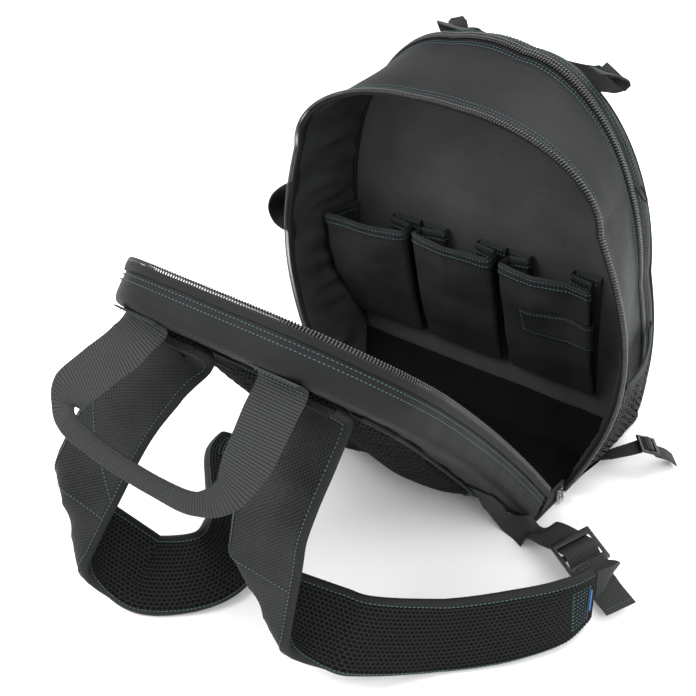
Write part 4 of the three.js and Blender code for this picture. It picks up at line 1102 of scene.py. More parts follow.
@dataclass
class Gusset:
    """Outer cloth and lining of the main space, with the stitch rows beside the two zips."""

    shape: BagShape = SHAPE
    start: float = 6.0
    end: float = 119.0
    lining_gap: float = 2.7
    stitch_depths: tuple[float, ...] = (11.0, 15.5, 108.5, 113.0)
    seam_depth: float = 96.0

    def outer(self, u: Array, v: Array) -> Array:
        """Outer cloth, slack between its zips."""
        depth = lerp(self.start, self.end, v)
        base = self.shape.side(u, depth, 0.0)
        slack = np.sin(np.pi * v) ** 0.7
        soft = rumple(base, 85, 1) * 3.4 + rumple(base, 34, 2) * 1.3
        low = np.clip(base[:, 2] / 120, 0, 1)
        return self.shape.side(u, depth, np.maximum(soft, -1.2) * slack * (0.35 + 0.65 * low))

    def inner(self, u: Array, v: Array) -> Array:
        """Lining, with loose folds."""
        depth = lerp(self.start - 3, self.end, v)
        base = self.shape.side(u, depth, -self.lining_gap)
        slack = np.sin(np.pi * np.clip(v * 1.02, 0, 1)) ** 0.5
        ridge = 1 - np.abs(rumple(base * np.array([1, 0.6, 1.6]), 48, 5)) * 2.2
        fine = rumple(base, 17, 6)
        fold = np.maximum(0, ridge) * 7.0 + fine * 1.2
        return self.shape.side(u, depth, -self.lining_gap - np.maximum(0, fold) * slack)

    def build(self) -> None:
        """Makes the cloth and its stitches."""
        middle = (0, 60, 200)
        outer = grid("gusset_cloth", (230, 26), self.outer, away=middle)
        apply(outer, "SOLIDIFY", thickness=1.0 * MM, offset=-1)
        dress(smooth(outer), Finish.COATED, nodes=["main_shell"])
        inner = grid("gusset_lining", (230, 34), self.inner, away=middle, inward=True)
        apply(inner, "SOLIDIFY", thickness=0.6 * MM, offset=-1)
        dress(smooth(inner), Finish.LINING, nodes=["main_shell"])
        rows = [self.shape.run(d, 0.35, (0.004, 0.996)) for d in self.stitch_depths]
        dress(stitching("gusset_stitches", rows), Finish.THREAD)
        seam = [self.shape.run(self.seam_depth, 0.6, (0.42, 0.62))]
        holes = Stitch(length=1.3, pitch=4.6, thick=0.8)
        dress(stitching("gusset_seam_holes", seam, holes), Finish.LINING)


@dataclass
class RimZip:
    """Open half of the main zip round the rear rim: folded tape and one row of coil."""

    shape: BagShape = SHAPE
    width: float = 9.0
    tooth: Tooth = Tooth(pitch=2.9, wide=6.0, tall=3.4, thick=1.05)

    def section(self, v: Array) -> tuple[Array, Array]:
        """Depth and lift round the folded tape."""
        turn = (0, 0.3, 0.42, 0.5, 0.58, 0.7, 1.0)
        depth = curve(v, turn, (self.width, 2.2, 0.4, -0.3, 0.4, 2.4, self.width))
        lift = curve(v, turn, (0.9, 0.9, 0.1, -1.2, -2.6, -3.5, -3.5))
        return depth, lift

    def build(self) -> None:
        """Makes the tape and its coil."""
        def place(u: Array, v: Array) -> Array:
            depth, lift = self.section(v)
            ripple = rumple(self.shape.side(u, depth, 0.0), 22, 8) * 0.5
            return self.shape.side(u, depth, lift + ripple)

        tape = grid("rim_zip_tape", (300, 16), place, away=(0, 60, 200),
                    zones=lambda u, v: (v > 0.5).astype(int))
        apply(tape, "SOLIDIFY", thickness=0.7 * MM, offset=-1)
        dress(smooth(tape), Finish.TAPE, Finish.BINDING, nodes=["rear_zip"])
        line = self.shape.run(0.6, 1.9, (0.006, 0.994))
        dress(coil("rim_zip_coil", [line], self.tooth), Finish.COIL)


@dataclass
class FrontZip:
    """Closed zip of the front compartment: two tapes and two meshed rows of coil."""

    shape: BagShape = SHAPE
    half: float = 8.5
    tooth: Tooth = Tooth(pitch=2.9, wide=5.0, tall=2.8, thick=1.0)

    def build(self) -> None:
        """Makes the tapes and coils."""
        def place(u: Array, v: Array) -> Array:
            off = (v * 2 - 1) * self.half
            lift = 0.9 - 0.5 * np.abs(v * 2 - 1) ** 2
            return self.shape.side(u, self.shape.depth + off, lift)

        tape = grid("front_zip_tape", (260, 8), place, away=(0, 60, 200))
        apply(tape, "SOLIDIFY", thickness=0.8 * MM, offset=-1)
        dress(smooth(tape), Finish.TAPE, nodes=["front_zip"])
        rows = [self.shape.run(self.shape.depth + d, 2.0, (0.012, 0.988)) for d in (-2.5, 2.5)]
        dress(coil("front_zip_coils", rows, self.tooth), Finish.COIL)


@dataclass
class FrontCompartment:
    """Band past the front zip and the crowned front face, with piping where they meet."""

    shape: BagShape = SHAPE
    piping_row: float = 0.335
    piping_radius: float = 2.1

    def place(self, u: Array, v: Array) -> Array:
        """Outer cloth, slack on the face."""
        base = self.shape.face(u, v)
        slack = np.sin(np.pi * np.clip(v, 0, 1)) ** 0.8
        soft = rumple(base, 80, 11) * 3.6 + rumple(base, 30, 12) * 1.0
        return self.shape.face(u, v, (soft - 0.8) * slack)

    def build(self) -> None:
        """Makes the cloth, piping and stitches."""
        cloth = grid("front_cloth", (230, 54), self.place, away=(0, 100, 160),
                     zones=lambda u, v: (v > self.piping_row).astype(int))
        apply(cloth, "SOLIDIFY", thickness=1.4 * MM, offset=-1)
        dress(smooth(cloth), Finish.COATED, Finish.WOVEN, nodes=["front_shell"])
        line = self.shape.face_run(self.piping_row, 0.6, (0.0, 1.0)).points
        piping = tube("front_piping", line[::3], self.piping_radius)
        dress(smooth(piping), Finish.BINDING)
        rows = [self.shape.face_run(r, 0.5, (0.004, 0.996)) for r in (0.075, 0.115, 0.385)]
        dress(stitching("front_stitches", rows), Finish.THREAD)


@dataclass
class Divider:
    """Divider between the main space and the front compartment."""

    shape: BagShape = SHAPE
    y: float = 98.0
    lean: float = math.radians(4.9)
    inset: float = 3.8
    foot: float = 8.8

    def depth_at(self, z: Array) -> Array:
        """Y of the rear face at a height."""
        return self.y - np.asarray(z) * math.tan(self.lean)

    def edge(self, s: Array) -> Array:
        """Edge of the rear face, along the main shell."""
        low = self.shape.side(s, 0.0, -self.inset)
        high = self.shape.side(s, self.shape.depth, -self.inset)
        middle = (low[..., 2] + high[..., 2]) / 2
        share = (self.depth_at(middle) - low[..., 1]) / (high[..., 1] - low[..., 1])
        point = lerp(low, high, share)
        return vec(point[..., 0], self.depth_at(point[..., 2]), point[..., 2])

    def place(self, u: Array, v: Array) -> Array:
        """Rear face, from the edge to the foot's middle."""
        edge = self.edge(u)
        z = self.foot + np.maximum(0, edge[:, 2] - self.foot) * (1 - v)
        x = edge[:, 0] * (1 - v)
        points = vec(x, self.depth_at(z), z)
        free = np.clip((z - 215) / 40, 0, 1) * np.clip(v * 6, 0, 1)
        points[:, 1] -= np.maximum(0, rumple(points, 60, 21) * 5 + rumple(points, 24, 22) * 1.4) * free
        return points

    def build(self) -> None:
        """Makes the divider and its bound edge."""
        cloth = grid("divider_cloth_painted_light", (170, 60), self.place, away=(0, 150, 200))
        apply(cloth, "SOLIDIFY", thickness=2.4 * MM, offset=-1)
        # The divider wears the lighter copy of the lining, which is painted light on the lit divider.
        dress(smooth(cloth), Finish.DIVIDER, nodes=["divider_wall"])
        edge = self.edge(np.linspace(0, 1, 240))
        edge = edge * np.array([0.988, 1, 0.992]) + np.array([0, -1.2, 1.5])
        dress(smooth(tube("divider_binding", edge, 2.4)), Finish.BINDING)


@dataclass
class Base:
    """Stiffened floor in woven cloth, with a loose lining that turns up at the divider."""

    lining_half: float = 160.0
    lining_rear: float = -24.0
    lining_front: float = 99.0
    lining_height: float = 8.9
    turn_start: float = 58.0
    turn_run: float = 40.0
    turn_back: float = 9.0
    turn_rise: float = 34.0

    def build(self) -> None:
        """Rounds a copy of the base."""
        base = from_node("base_cover", "base_panel", bevel=2.2, segments=3)
        dress(smooth(base, 40), Finish.WOVEN, nodes=["base_panel"])

        def floor(u: Array, v: Array) -> Array:
            x = (u * 2 - 1) * self.lining_half
            y = lerp(self.lining_rear, self.lining_front, v)
            rise = np.maximum(0, rumple(vec(x, y, 0.0), 45, 61) * 4 + rumple(vec(x, y, 0.0), 18, 62) * 1.2)
            edge = np.clip((1 - np.abs(u * 2 - 1)) * 14, 0, 1)
            back = np.clip((y - self.turn_start) / self.turn_run, 0, 1)
            height = self.lining_height + rise * edge + self.turn_rise * back**2
            return vec(x * (1 + 0.05 * np.clip(y / 60, 0, 1)), y - self.turn_back * back, height)

        lining = grid("floor_lining", (90, 40), floor, away=(0, 30, -400))
        # Dressed in the darkest copy of the lining, which is painted shade on the bag's floor.
        dress(smooth(lining), Finish.FLOOR, nodes=["base_panel"])


def from_node(name: str, node: str, bevel: float, segments: int = 2) -> bpy.types.Object:
    """A merged copy of a hard CAD piece with rounded edges and cube-mapped UVs."""
    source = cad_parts[node]
    deselect()
    mesh = source.data.copy()
    obj = bpy.data.objects.new(name, mesh)
    mesh.name = name
    bpy.context.scene.collection.objects.link(obj)
    only(obj)
    bpy.ops.object.mode_set(mode="EDIT")
    bpy.ops.mesh.select_all(action="SELECT")
    bpy.ops.mesh.remove_doubles(threshold=1e-5)
    bpy.ops.mesh.normals_make_consistent(inside=False)
    bpy.ops.mesh.dissolve_limited(angle_limit=math.radians(1.0))
    bpy.ops.object.mode_set(mode="OBJECT")
    apply(obj, "BEVEL", width=bevel * MM, segments=segments, limit_method="ANGLE",
          angle_limit=math.radians(35), use_clamp_overlap=True)
    for layer in list(mesh.uv_layers):
        mesh.uv_layers.remove(layer)
    mesh.uv_layers.new(name="UVMap")
    bpy.ops.object.mode_set(mode="EDIT")
    bpy.ops.mesh.select_all(action="SELECT")
    bpy.ops.uv.cube_project(cube_size=1.0, correct_aspect=False)
    bpy.ops.object.mode_set(mode="OBJECT")
    return obj


# Pockets on the divider

@dataclass(frozen=True)
class PocketPath:
    """A pocket's way along the divider: shares of the row's width and of its depth."""

    name: str
    node: str
    rows: tuple[tuple[float, float], ...]
    tacks: tuple[int, ...]


@dataclass
class Pockets:
    """Three accordion tool pockets with folded hems, and the patch pocket on the right one."""

    divider: Divider = field(default_factory=Divider)
    left: float = -164.0
    right: float = 142.0
    low: float = 72.0
    high: float = 219.0
    depth: float = 36.0
    cloth: float = 1.3
    hem: float = 13.0
    paths: tuple[PocketPath, ...] = (
        PocketPath("left", "pocket_left", (
            (0.0, 0.0), (-0.02, 0.55), (-0.03, 1.4), (0.11, 1.3), (0.275, 0.95), (0.265, 0.45),
            (0.17, 0.28), (0.17, 0.0), (0.285, 0.0)), (7,)),
        PocketPath("centre", "pocket_centre", (
            (0.295, 0.0), (0.4, 0.0), (0.4, 0.28), (0.315, 0.4), (0.31, 0.82), (0.45, 1.0),
            (0.62, 0.8), (0.615, 0.4), (0.53, 0.28), (0.53, 0.0), (0.64, 0.0)), (1, 9)),
        PocketPath("right", "pocket_right", (
            (0.65, 0.0), (0.74, 0.0), (0.74, 0.28), (0.675, 0.4), (0.67, 0.82), (0.8, 0.95),
            (0.92, 0.7), (1.0, 0.82), (0.985, 0.42), (0.9, 0.28), (0.9, 0.0), (1.0, 0.0)), (1, 10)),
    )

    def flat(self, path: PocketPath, u: Array, off: Array) -> Array:
        """The path from above, rounded, at shares u of its length and off it."""
        rows = np.array(path.rows) * np.array([self.right - self.left, -self.depth])
        rows[:, 0] += self.left
        reach = np.concatenate([[0], np.cumsum(np.linalg.norm(np.diff(rows, axis=0), axis=1))])
        fine = np.linspace(0, reach[-1], 400)
        line = np.stack([np.interp(fine, reach, rows[:, i]) for i in range(2)], axis=1)
        kernel = np.hanning(15)
        kernel = kernel / kernel.sum()
        padded = np.concatenate([np.repeat(line[:1], 7, 0), line, np.repeat(line[-1:], 7, 0)])
        line = np.stack([np.convolve(padded[:, i], kernel, mode="valid") for i in range(2)], axis=1)
        run = unit(np.gradient(line, axis=0))
        out = np.stack([run[:, 1], -run[:, 0]], axis=1)
        return sample(line, u) + sample(out, u) * np.asarray(off)[..., None]

    def at(self, path: PocketPath, u: Array, z: Array, off: Array) -> Array:
        """Points of the pocket's cloth, off it towards the viewer."""
        u, z, off = np.broadcast_arrays(np.asarray(u, float), z, off)
        flat = self.flat(path, u, off)
        h = (z - self.low) / (self.high - self.low)
        squeeze = curve(np.clip(h, 0, 1), (0, 0.35, 0.75, 1), (0.17, 0.62, 0.93, 1))
        seat = self.divider.depth_at(z) - 0.4 - self.cloth
        points = vec(flat[..., 0], seat + flat[..., 1] * squeeze, z)
        free = np.clip(-flat[..., 1] / self.depth, 0, 1)
        wave = rumple(points.reshape(-1, 3), 46, 31).reshape(u.shape) * 5.0
        fine = rumple(points.reshape(-1, 3), 19, 32).reshape(u.shape) * 1.5
        points[..., 1] -= (wave + fine) * free * np.clip(h * 1.4, 0, 1)
        points[..., 2] += rumple(points.reshape(-1, 3), 70, 33).reshape(u.shape) * 5.0 * free * h
        return points

    def line(self, path: PocketPath, u: Array, z: Array, off: float) -> Line:
        """Line on the pocket's cloth."""
        points = self.at(path, u, z, off)
        out = unit(self.at(path, u, z, off + 1) - points)
        return Line(points, out)

    def pocket(self, path: PocketPath) -> bpy.types.Object:
        """Cloth, hem, stitches and bar-tacks of one pocket."""
        cloth = grid(f"tool_pocket_{path.name}", (150, 34),
                     lambda u, v: self.at(path, u, lerp(self.low, self.high, v), 0.0),
                     away=(0, 300, 150))
        apply(cloth, "SOLIDIFY", thickness=self.cloth * MM, offset=1)
        dress(smooth(cloth), Finish.POCKET, nodes=[path.node])

        def over(u: Array, v: Array) -> Array:
            z = curve(v, (0, 0.42, 0.5, 0.58, 1), (self.high - self.hem, self.high, self.high + 1.2,
                                                   self.high, self.high - self.hem))
            off = curve(v, (0, 0.1, 0.42, 0.5, 0.58, 0.9, 1), (1.4, 2.0, 2.0, 0.6, -0.7, -0.7, -0.1))
            return self.at(path, u, z, off)

        hem = grid(f"tool_pocket_hem_{path.name}", (150, 14), over)
        apply(hem, "SOLIDIFY", thickness=0.5 * MM, offset=0)
        dress(smooth(hem), Finish.POCKET)
        u = np.linspace(0.01, 0.99, 300)
        full = np.full_like(u, self.high)
        rows = [self.line(path, u, full - d, 2.6) for d in (2.6, 8.8)]
        rows += [self.line(path, u, full - d, -1.4) for d in (2.6, 8.8)]
        dress(stitching(f"tool_pocket_stitches_{path.name}", rows, Stitch(3.0, 4.0, 1.25)), Finish.THREAD)
        self.bar_tacks(path)
        return cloth

    def bar_tacks(self, path: PocketPath) -> None:
        """Dense blue stitches that hold the pleats at the hem."""
        count = len(path.rows) - 1
        points = np.array(path.rows) * np.array([self.right - self.left, self.depth])
        reach = np.concatenate([[0], np.cumsum(np.linalg.norm(np.diff(points, axis=0), axis=1))])
        lines = []
        for tack in path.tacks:
            u = np.full(30, reach[min(tack, count)] / reach[-1])
            z = np.linspace(self.high - self.hem, self.high - 1, 30)
            lines.append(self.line(path, u, z, 2.6))
        tack = Stitch(length=2.4, pitch=0.9, thick=2.2)
        dress(stitching(f"bar_tacks_{path.name}", lines, tack), Finish.TACK)

    def patch(self) -> None:
        """Small flat pocket on the right pocket's front."""
        path = self.paths[2]
        low, high = 141.0, 175.0
        ends = (0.38, 0.73)

        def place(u: Array, v: Array) -> Array:
            edge = np.minimum(np.minimum(u, 1 - u) * 12, 1) * np.minimum(v * 8, 1)
            return self.at(path, lerp(*ends, u), lerp(low, high, v), 1.8 + 1.3 * edge)

        cloth = grid("patch_pocket_cloth", (40, 14), place, away=(0, 300, 150))
        apply(cloth, "SOLIDIFY", thickness=1.0 * MM, offset=1)
        dress(smooth(cloth), Finish.POCKET, nodes=["patch_pocket"])
        z = np.linspace(low + 1.5, high, 40)
        across = np.linspace(ends[0] + 0.006, ends[1] - 0.006, 80)
        rows = [
            self.line(path, across, np.full(80, low + 2.0), 3.6),
            self.line(path, across, np.full(80, high - 3.0), 4.2),
            self.line(path, np.full(40, ends[0] + 0.008), z, 3.6),
            self.line(path, np.full(40, ends[1] - 0.008), z, 3.6),
        ]
        dress(stitching("patch_pocket_stitches", rows), Finish.THREAD)

    def build(self) -> None:
        """Makes all the pockets."""
        for path in self.paths:
            self.pocket(path)
        self.patch()


# Back panel

@dataclass
class BackPanel:
    """Folded back panel: woven outer face, smooth band and the lining of its tray."""

    panel: PanelShape = PANEL
    out_at: tuple[float, ...] = (0.0, 0.3, 0.55, 0.64, 0.7, 0.76, 0.84, 0.9, 1.0)
    outs: tuple[float, ...] = (38.0, 38.0, 38.0, 38.0, 36.8, 32.5, 20.0, 12.0, 5.5)
    insets: tuple[float, ...] = (159.0, 88.0, 26.0, 12.0, 4.5, 0.6, -0.8, -0.4, 0.4)
    woven_to: float = 0.715

    def outer(self, u: Array, v: Array) -> Array:
        """Outer face and band, from the face's middle to the lip."""
        out = curve(v, self.out_at, self.outs)
        inset = curve(v, self.out_at, self.insets)
        base = self.panel.ring(u, out, inset)
        soft = rumple(base, 60, 41) * 3.0
        ridge = (1 - np.abs(rumple(base * np.array([1.7, 1, 1]), 30, 42)) * 2) * 2.4
        on_face = np.clip((0.7 - v) * 6, 0, 1)
        on_band = np.clip((v - 0.7) * 8, 0, 1) * np.clip((1.0 - v) * 9, 0, 1)
        inset = inset - (soft * 0.5 + rumple(base, 24, 43) * 0.8) * on_band
        return self.panel.ring(u, out + (soft * 0.4 + np.maximum(ridge, 0) - 1.0) * on_face, inset)

    def tray(self, u: Array, v: Array) -> Array:
        """Lining, from the lip down to the tray's middle."""
        out = curve(v, (0, 0.2, 0.35, 0.5, 1.0), (5.5, 22.0, 28.5, 30.0, 30.0))
        inset = curve(v, (0, 0.2, 0.35, 0.5, 1.0), (2.6, 3.4, 9.0, 40.0, 159.0))
        base = self.panel.ring(u, out, inset)
        puff = np.clip((v - 0.3) * 4, 0, 1)
        return self.panel.ring(u, out - (rumple(base, 55, 45) * 3.0 + 1.2) * puff, inset)

    def build(self) -> None:
        """Makes the panel and its stitches."""
        middle = tuple(self.panel.point(0.0, 216.0, 15.0))
        outer = grid("panel_cloth", (260, 60), self.outer, away=middle,
                     zones=lambda u, v: (v > self.woven_to).astype(int))
        weld(outer)
        apply(outer, "SOLIDIFY", thickness=1.2 * MM, offset=-1)
        dress(smooth(outer), Finish.WOVEN, Finish.COATED, nodes=["back_panel"])
        tray = grid("panel_lining", (220, 34), self.tray, away=middle, inward=True)
        weld(tray)
        dress(smooth(tray), Finish.LINING, nodes=["back_panel"])
        rows = [self.panel.run(o, 1.2, PANEL_ENDS) for o in (11.5, 16.5)]
        dress(stitching("panel_stitches", rows), Finish.THREAD)


def weld(obj: bpy.types.Object) -> None:
    """Merges doubled points of an open sheet."""
    only(obj)
    bpy.ops.object.mode_set(mode="EDIT")
    bpy.ops.mesh.select_all(action="SELECT")
    bpy.ops.mesh.remove_doubles(threshold=1e-5)
    bpy.ops.object.mode_set(mode="OBJECT")


@dataclass
class PanelZip:
    """Open zip half on the panel's lip: tape and an upright row of coil."""

    panel: PanelShape = PANEL
    tooth: Tooth = Tooth(pitch=2.9, wide=6.0, tall=3.4, thick=1.05)

    def build(self) -> None:
        """Makes the tape and coil."""
        def place(u: Array, v: Array) -> Array:
            s = lerp(*PANEL_ENDS, u)
            out = curve(v, (0, 0.45, 0.55, 1.0), (8.0, 0.2, 0.2, 8.0))
            inset = curve(v, (0, 0.4, 0.5, 0.6, 1.0), (-1.6, -1.2, 0.8, 2.6, 3.2))
            ripple = rumple(self.panel.ring(s, out, inset), 26, 47) * 0.5
            return self.panel.ring(s, out + ripple, inset)

        tape = grid("panel_zip_tape", (300, 14), place, away=tuple(self.panel.point(0.0, 216.0, 4.0)))
        apply(tape, "SOLIDIFY", thickness=0.7 * MM, offset=-1)
        dress(smooth(tape), Finish.TAPE, nodes=["panel_zip"])
        line = self.panel.run(0.0, 0.2, PANEL_ENDS)
        dress(coil("panel_zip_coil", [line], self.tooth), Finish.COIL)


@dataclass
class BackPads:
    """Two ribbed cushions of spacer mesh, filled by a cloth simulation."""

    panel: PanelShape = PANEL
    inner: float = 10.0
    outer: float = 112.0
    low: float = 22.0
    high: float = 322.0
    rise: float = 22.0
    seat: float = 38.4
    edge: float = 3.0
    rib_pitch: float = 11.0
    rib: float = 2.2
    bound: float = 4.5

    def edges(self, v: Array) -> tuple[Array, Array]:
        """Inner and outer edge across, at shares of the pad's length."""
        width = self.outer - self.inner
        at = (0, 0.12, 0.5, 0.85, 1)
        low = np.interp(v, at, (0.2, 0.03, 0.0, 0.0, 0.12))
        high = np.interp(v, at, (0.75, 0.93, 0.92, 1.0, 0.9))
        return self.inner + low * width, self.inner + high * width

    def place(self, side: int, u: Array, v: Array, share: Array) -> Array:
        """Points of one pad: share is 0 on the panel and 1 on the crown."""
        low, high = self.edges(v)
        swell = np.interp(v, (0, 0.12, 0.35, 0.7, 1), (0.0, 0.55, 1.0, 0.75, 0.0))
        crown = np.sin(np.pi * np.clip(u, 0, 1)) ** 0.6 * swell * self.rise
        out = self.seat + share * (self.edge + crown * 0.9)
        return self.panel.point(side * lerp(low, high, u), lerp(self.low, self.high, v), out)

    def pad(self, side: int, word: str) -> bpy.types.Object:
        """One simulated, ribbed pad."""
        def around(u: Array, v: Array) -> Array:
            across = np.where(v < 0.5, v * 2, 2 - v * 2)
            along = np.clip((u * 26 - 1) / 24, 0, 1)
            share = np.where(v < 0.5, 1.0, 0.0)
            share = np.where((u < 0.02) | (u > 0.98), 0.5, share)
            across = np.where((u < 0.02) | (u > 0.98), 0.02 + 0.96 * across, across)
            return self.place(side, across, along, share)

        pad = grid(f"back_pad_{word}_cushion", (26, 32), around, closed=True)
        apply(pad, "REMESH", mode="VOXEL", voxel_size=0.0045)
        seat = coords(pad) / MM
        _, out = self.panel.axes(170.0)
        base = self.panel.point(0.0, 170.0, self.seat + 2.0)
        group = pad.vertex_groups.new(name="seat")
        low = np.nonzero((seat - base) @ out < 0)[0]
        group.add([int(i) for i in low], 1.0, "REPLACE")
        inflate(pad, group.name, pressure=4.0, cap=5.0)
        apply(pad, "SUBSURF", levels=1, render_levels=1)
        self.rib_it(pad, side)
        return pad

    def flat(self, points: Array) -> tuple[Array, Array]:
        """Across and along of points that lie near the panel, in millimetres."""
        up, _ = self.panel.axes(200.0)
        origin = self.panel.point(0.0, 200.0, self.seat + 8)
        return points[:, 0], 200.0 + (points - origin) @ up

    def rib_it(self, pad: bpy.types.Object, side: int) -> None:
        """Presses channels into the pad and gives it flat UVs."""
        points = coords(pad) / MM
        across, along = self.flat(points)
        normals = np.empty(len(points) * 3)
        pad.data.vertices.foreach_get("normal", normals)
        normals = normals.reshape(-1, 3)
        _, out = self.panel.axes(200.0)
        facing_out = np.clip(normals @ out * 2, 0, 1)
        x = side * across - 60
        phase = (along - 0.012 * x**2 * np.sign(200 - along)) / self.rib_pitch
        wave = np.abs(np.sin(np.pi * phase)) ** 0.55 - 0.75
        near = np.clip((55 - np.abs(x)) / 14, 0, 1)
        set_coords(pad, (points + normals * (wave * self.rib * facing_out * near)[:, None]) * MM)
        mesh = pad.data
        for layer in list(mesh.uv_layers):
            mesh.uv_layers.remove(layer)
        layer = mesh.uv_layers.new(name="UVMap")
        ids = np.empty(len(mesh.loops), dtype=np.int64)
        mesh.loops.foreach_get("vertex_index", ids)
        uv = np.stack([across, along], axis=1) * MM
        layer.data.foreach_set("uv", uv[ids].ravel())

    def rim(self, side: int, word: str) -> None:
        """Bound edge of one pad and its stitches."""
        v = np.linspace(0, 1, 60)
        low, high = self.edges(v)
        along = lerp(self.low, self.high, v)
        x = np.concatenate([low, high[::-1], low[:1]]) * side
        y = np.concatenate([along, along[::-1], along[:1]])
        line = evenly(np.stack([x, y], axis=1), 260)
        points = self.panel.point(line[:, 0], line[:, 1], self.seat + 1.6)
        dress(smooth(tube(f"pad_binding_{word}", points, 2.6)), Finish.BINDING)
        _, out = self.panel.axes(200.0)
        top = points + out * 2.4
        dress(stitching(f"pad_stitches_{word}", [Line(top, np.tile(out, (len(top), 1)))]), Finish.THREAD)

    def build(self) -> None:
        """Makes both pads."""
        for side, word in ((-1, "left"), (1, "right")):
            pad = self.pad(side, word)
            dress(smooth(pad), Finish.SPACER, nodes=[f"back_pad_{word}"])
            self.rim(side, word)


def inflate(obj: bpy.types.Object, pins: str, pressure: float, cap: float) -> None:
    """Fills a closed piece by a short cloth simulation and keeps each point near its start.

    Args:
        obj: The piece.
        pins: Vertex group that stays put.
        pressure: Pressure inside.
        cap: Longest move, in millimetres.
    """
    start = coords(obj)
    only(obj)
    mod = obj.modifiers.new("Cloth", "CLOTH")
    cloth = mod.settings
    cloth.quality = 5
    cloth.mass = 0.3
    cloth.tension_stiffness = 25
    cloth.compression_stiffness = 25
    cloth.bending_stiffness = 0.6
    cloth.use_pressure = True
    cloth.uniform_pressure_force = pressure
    cloth.vertex_group_mass = pins
    cloth.effector_weights.gravity = 0
    mod.point_cache.frame_start = 1
    mod.point_cache.frame_end = 20
    scene = bpy.context.scene
    for step in range(1, 21):
        scene.frame_set(step)
    bpy.ops.object.modifier_apply(modifier=mod.name)
    scene.frame_set(1)
    move = coords(obj) - start
    far = np.linalg.norm(move, axis=1, keepdims=True)
    set_coords(obj, start + move * np.minimum(1.0, cap * MM / np.maximum(far, 1e-9)))


# Straps and webbings

@dataclass(frozen=True)
class Fold:
    """A strap's fold: its line's slant from the strap's run, its turn and its radius."""

    slant: float
    turn: float = math.radians(150)
    radius: float = 16.0


class StrapLine(Strip):
    """A strap that hangs, folds over a slanted line and lies on the floor."""

    def __init__(self, hang: Sequence[Station], fold: Fold, lie: Sequence[Station], width: float) -> None:
        """Joins the hanging part, the fold and the lying part."""
        self.fold = fold
        self.width_mm = width
        self.first = Strip(hang, 12)
        tangent = self.first.tangent[-1]
        wide, face = self.first.wide[-1], self.first.face[-1]
        self.lead = width / 2 / math.tan(fold.slant)
        self.origin = self.first.centre[-1] + tangent * self.lead
        self.turn_axes = (
            tangent * math.cos(fold.slant) + wide * math.sin(fold.slant),
            tangent * math.sin(fold.slant) - wide * math.cos(fold.slant),
            face,
        )
        self.reach = self.lead + fold.turn * fold.radius / math.sin(fold.slant)
        centre = self.folded(self.reach, 0.0, 0.0)
        ahead = unit(self.folded(self.reach + 1, 0.0, 0.0) - centre)
        aside = unit(self.folded(self.reach, width / 2, 0.0) - centre)
        exits = [Station(centre + ahead * step, aside, width) for step in (0.0, 14.0)]
        self.last = Strip([*exits, *lie], 12)
        lengths = [self.first.length(), self.lead + self.reach, self.last.length()]
        self.marks = np.cumsum([0, *lengths]) / sum(lengths)
        self.total = sum(lengths)

    def folded(self, s: Array, u: Array, n: Array) -> Array:
        """Point s along, u across and n out, kept at its distance from the fold's line."""
        s, u, n = np.broadcast_arrays(np.asarray(s, float), u, n)
        axis, cross, face = self.turn_axes
        cos, sin, radius = math.cos(self.fold.slant), math.sin(self.fold.slant), self.fold.radius
        p = s * cos + u * sin
        q = s * sin - u * cos
        angle = np.clip(q / radius, 0, self.fold.turn)
        past = q - angle * radius
        along = (radius + n) * np.sin(angle) + past * np.cos(angle)
        out = (radius + n) * np.cos(angle) - past * np.sin(angle) - radius
        return self.origin + axis * p[..., None] + cross * along[..., None] + face * out[..., None]

    def at(self, row: Array, across: Array, up: Array) -> Array:
        """Points at shares of the length, of half the width, and heights off the middle."""
        row, across, up = np.broadcast_arrays(np.asarray(row, float), across, up)

        def share(k: int) -> Array:
            return np.clip((row - self.marks[k]) / (self.marks[k + 1] - self.marks[k]), 0, 1)

        first = self.first.at(share(0), across, up)
        turn = self.folded(lerp(-self.lead, self.reach, share(1)), across * self.width_mm / 2, up)
        last = self.last.at(share(2), across, up)
        part = (row > self.marks[1]).astype(int) + (row > self.marks[2])
        return np.where((part == 0)[..., None], first, np.where((part == 1)[..., None], turn, last))

    def depth(self, row: Array) -> Array:
        """A strap's thickness is given by its section."""
        return np.full(np.shape(row), 12.0)

    def length(self) -> float:
        """Length of the middle line."""
        return self.total


def padded_section(v: Array) -> tuple[Array, Array]:
    """Closed section of a padded strap: crowned faces and thin edges."""
    angle = v * 2 * np.pi
    c, s = np.cos(angle), np.sin(angle)
    across = np.sign(c) * np.abs(c) ** 0.5
    crown = np.clip((1 - np.abs(across)) / 0.16, 0, 1) ** 0.5
    return across, np.sign(s) * (0.14 + 0.36 * crown) * np.clip(np.abs(s) * 4, 0, 1)


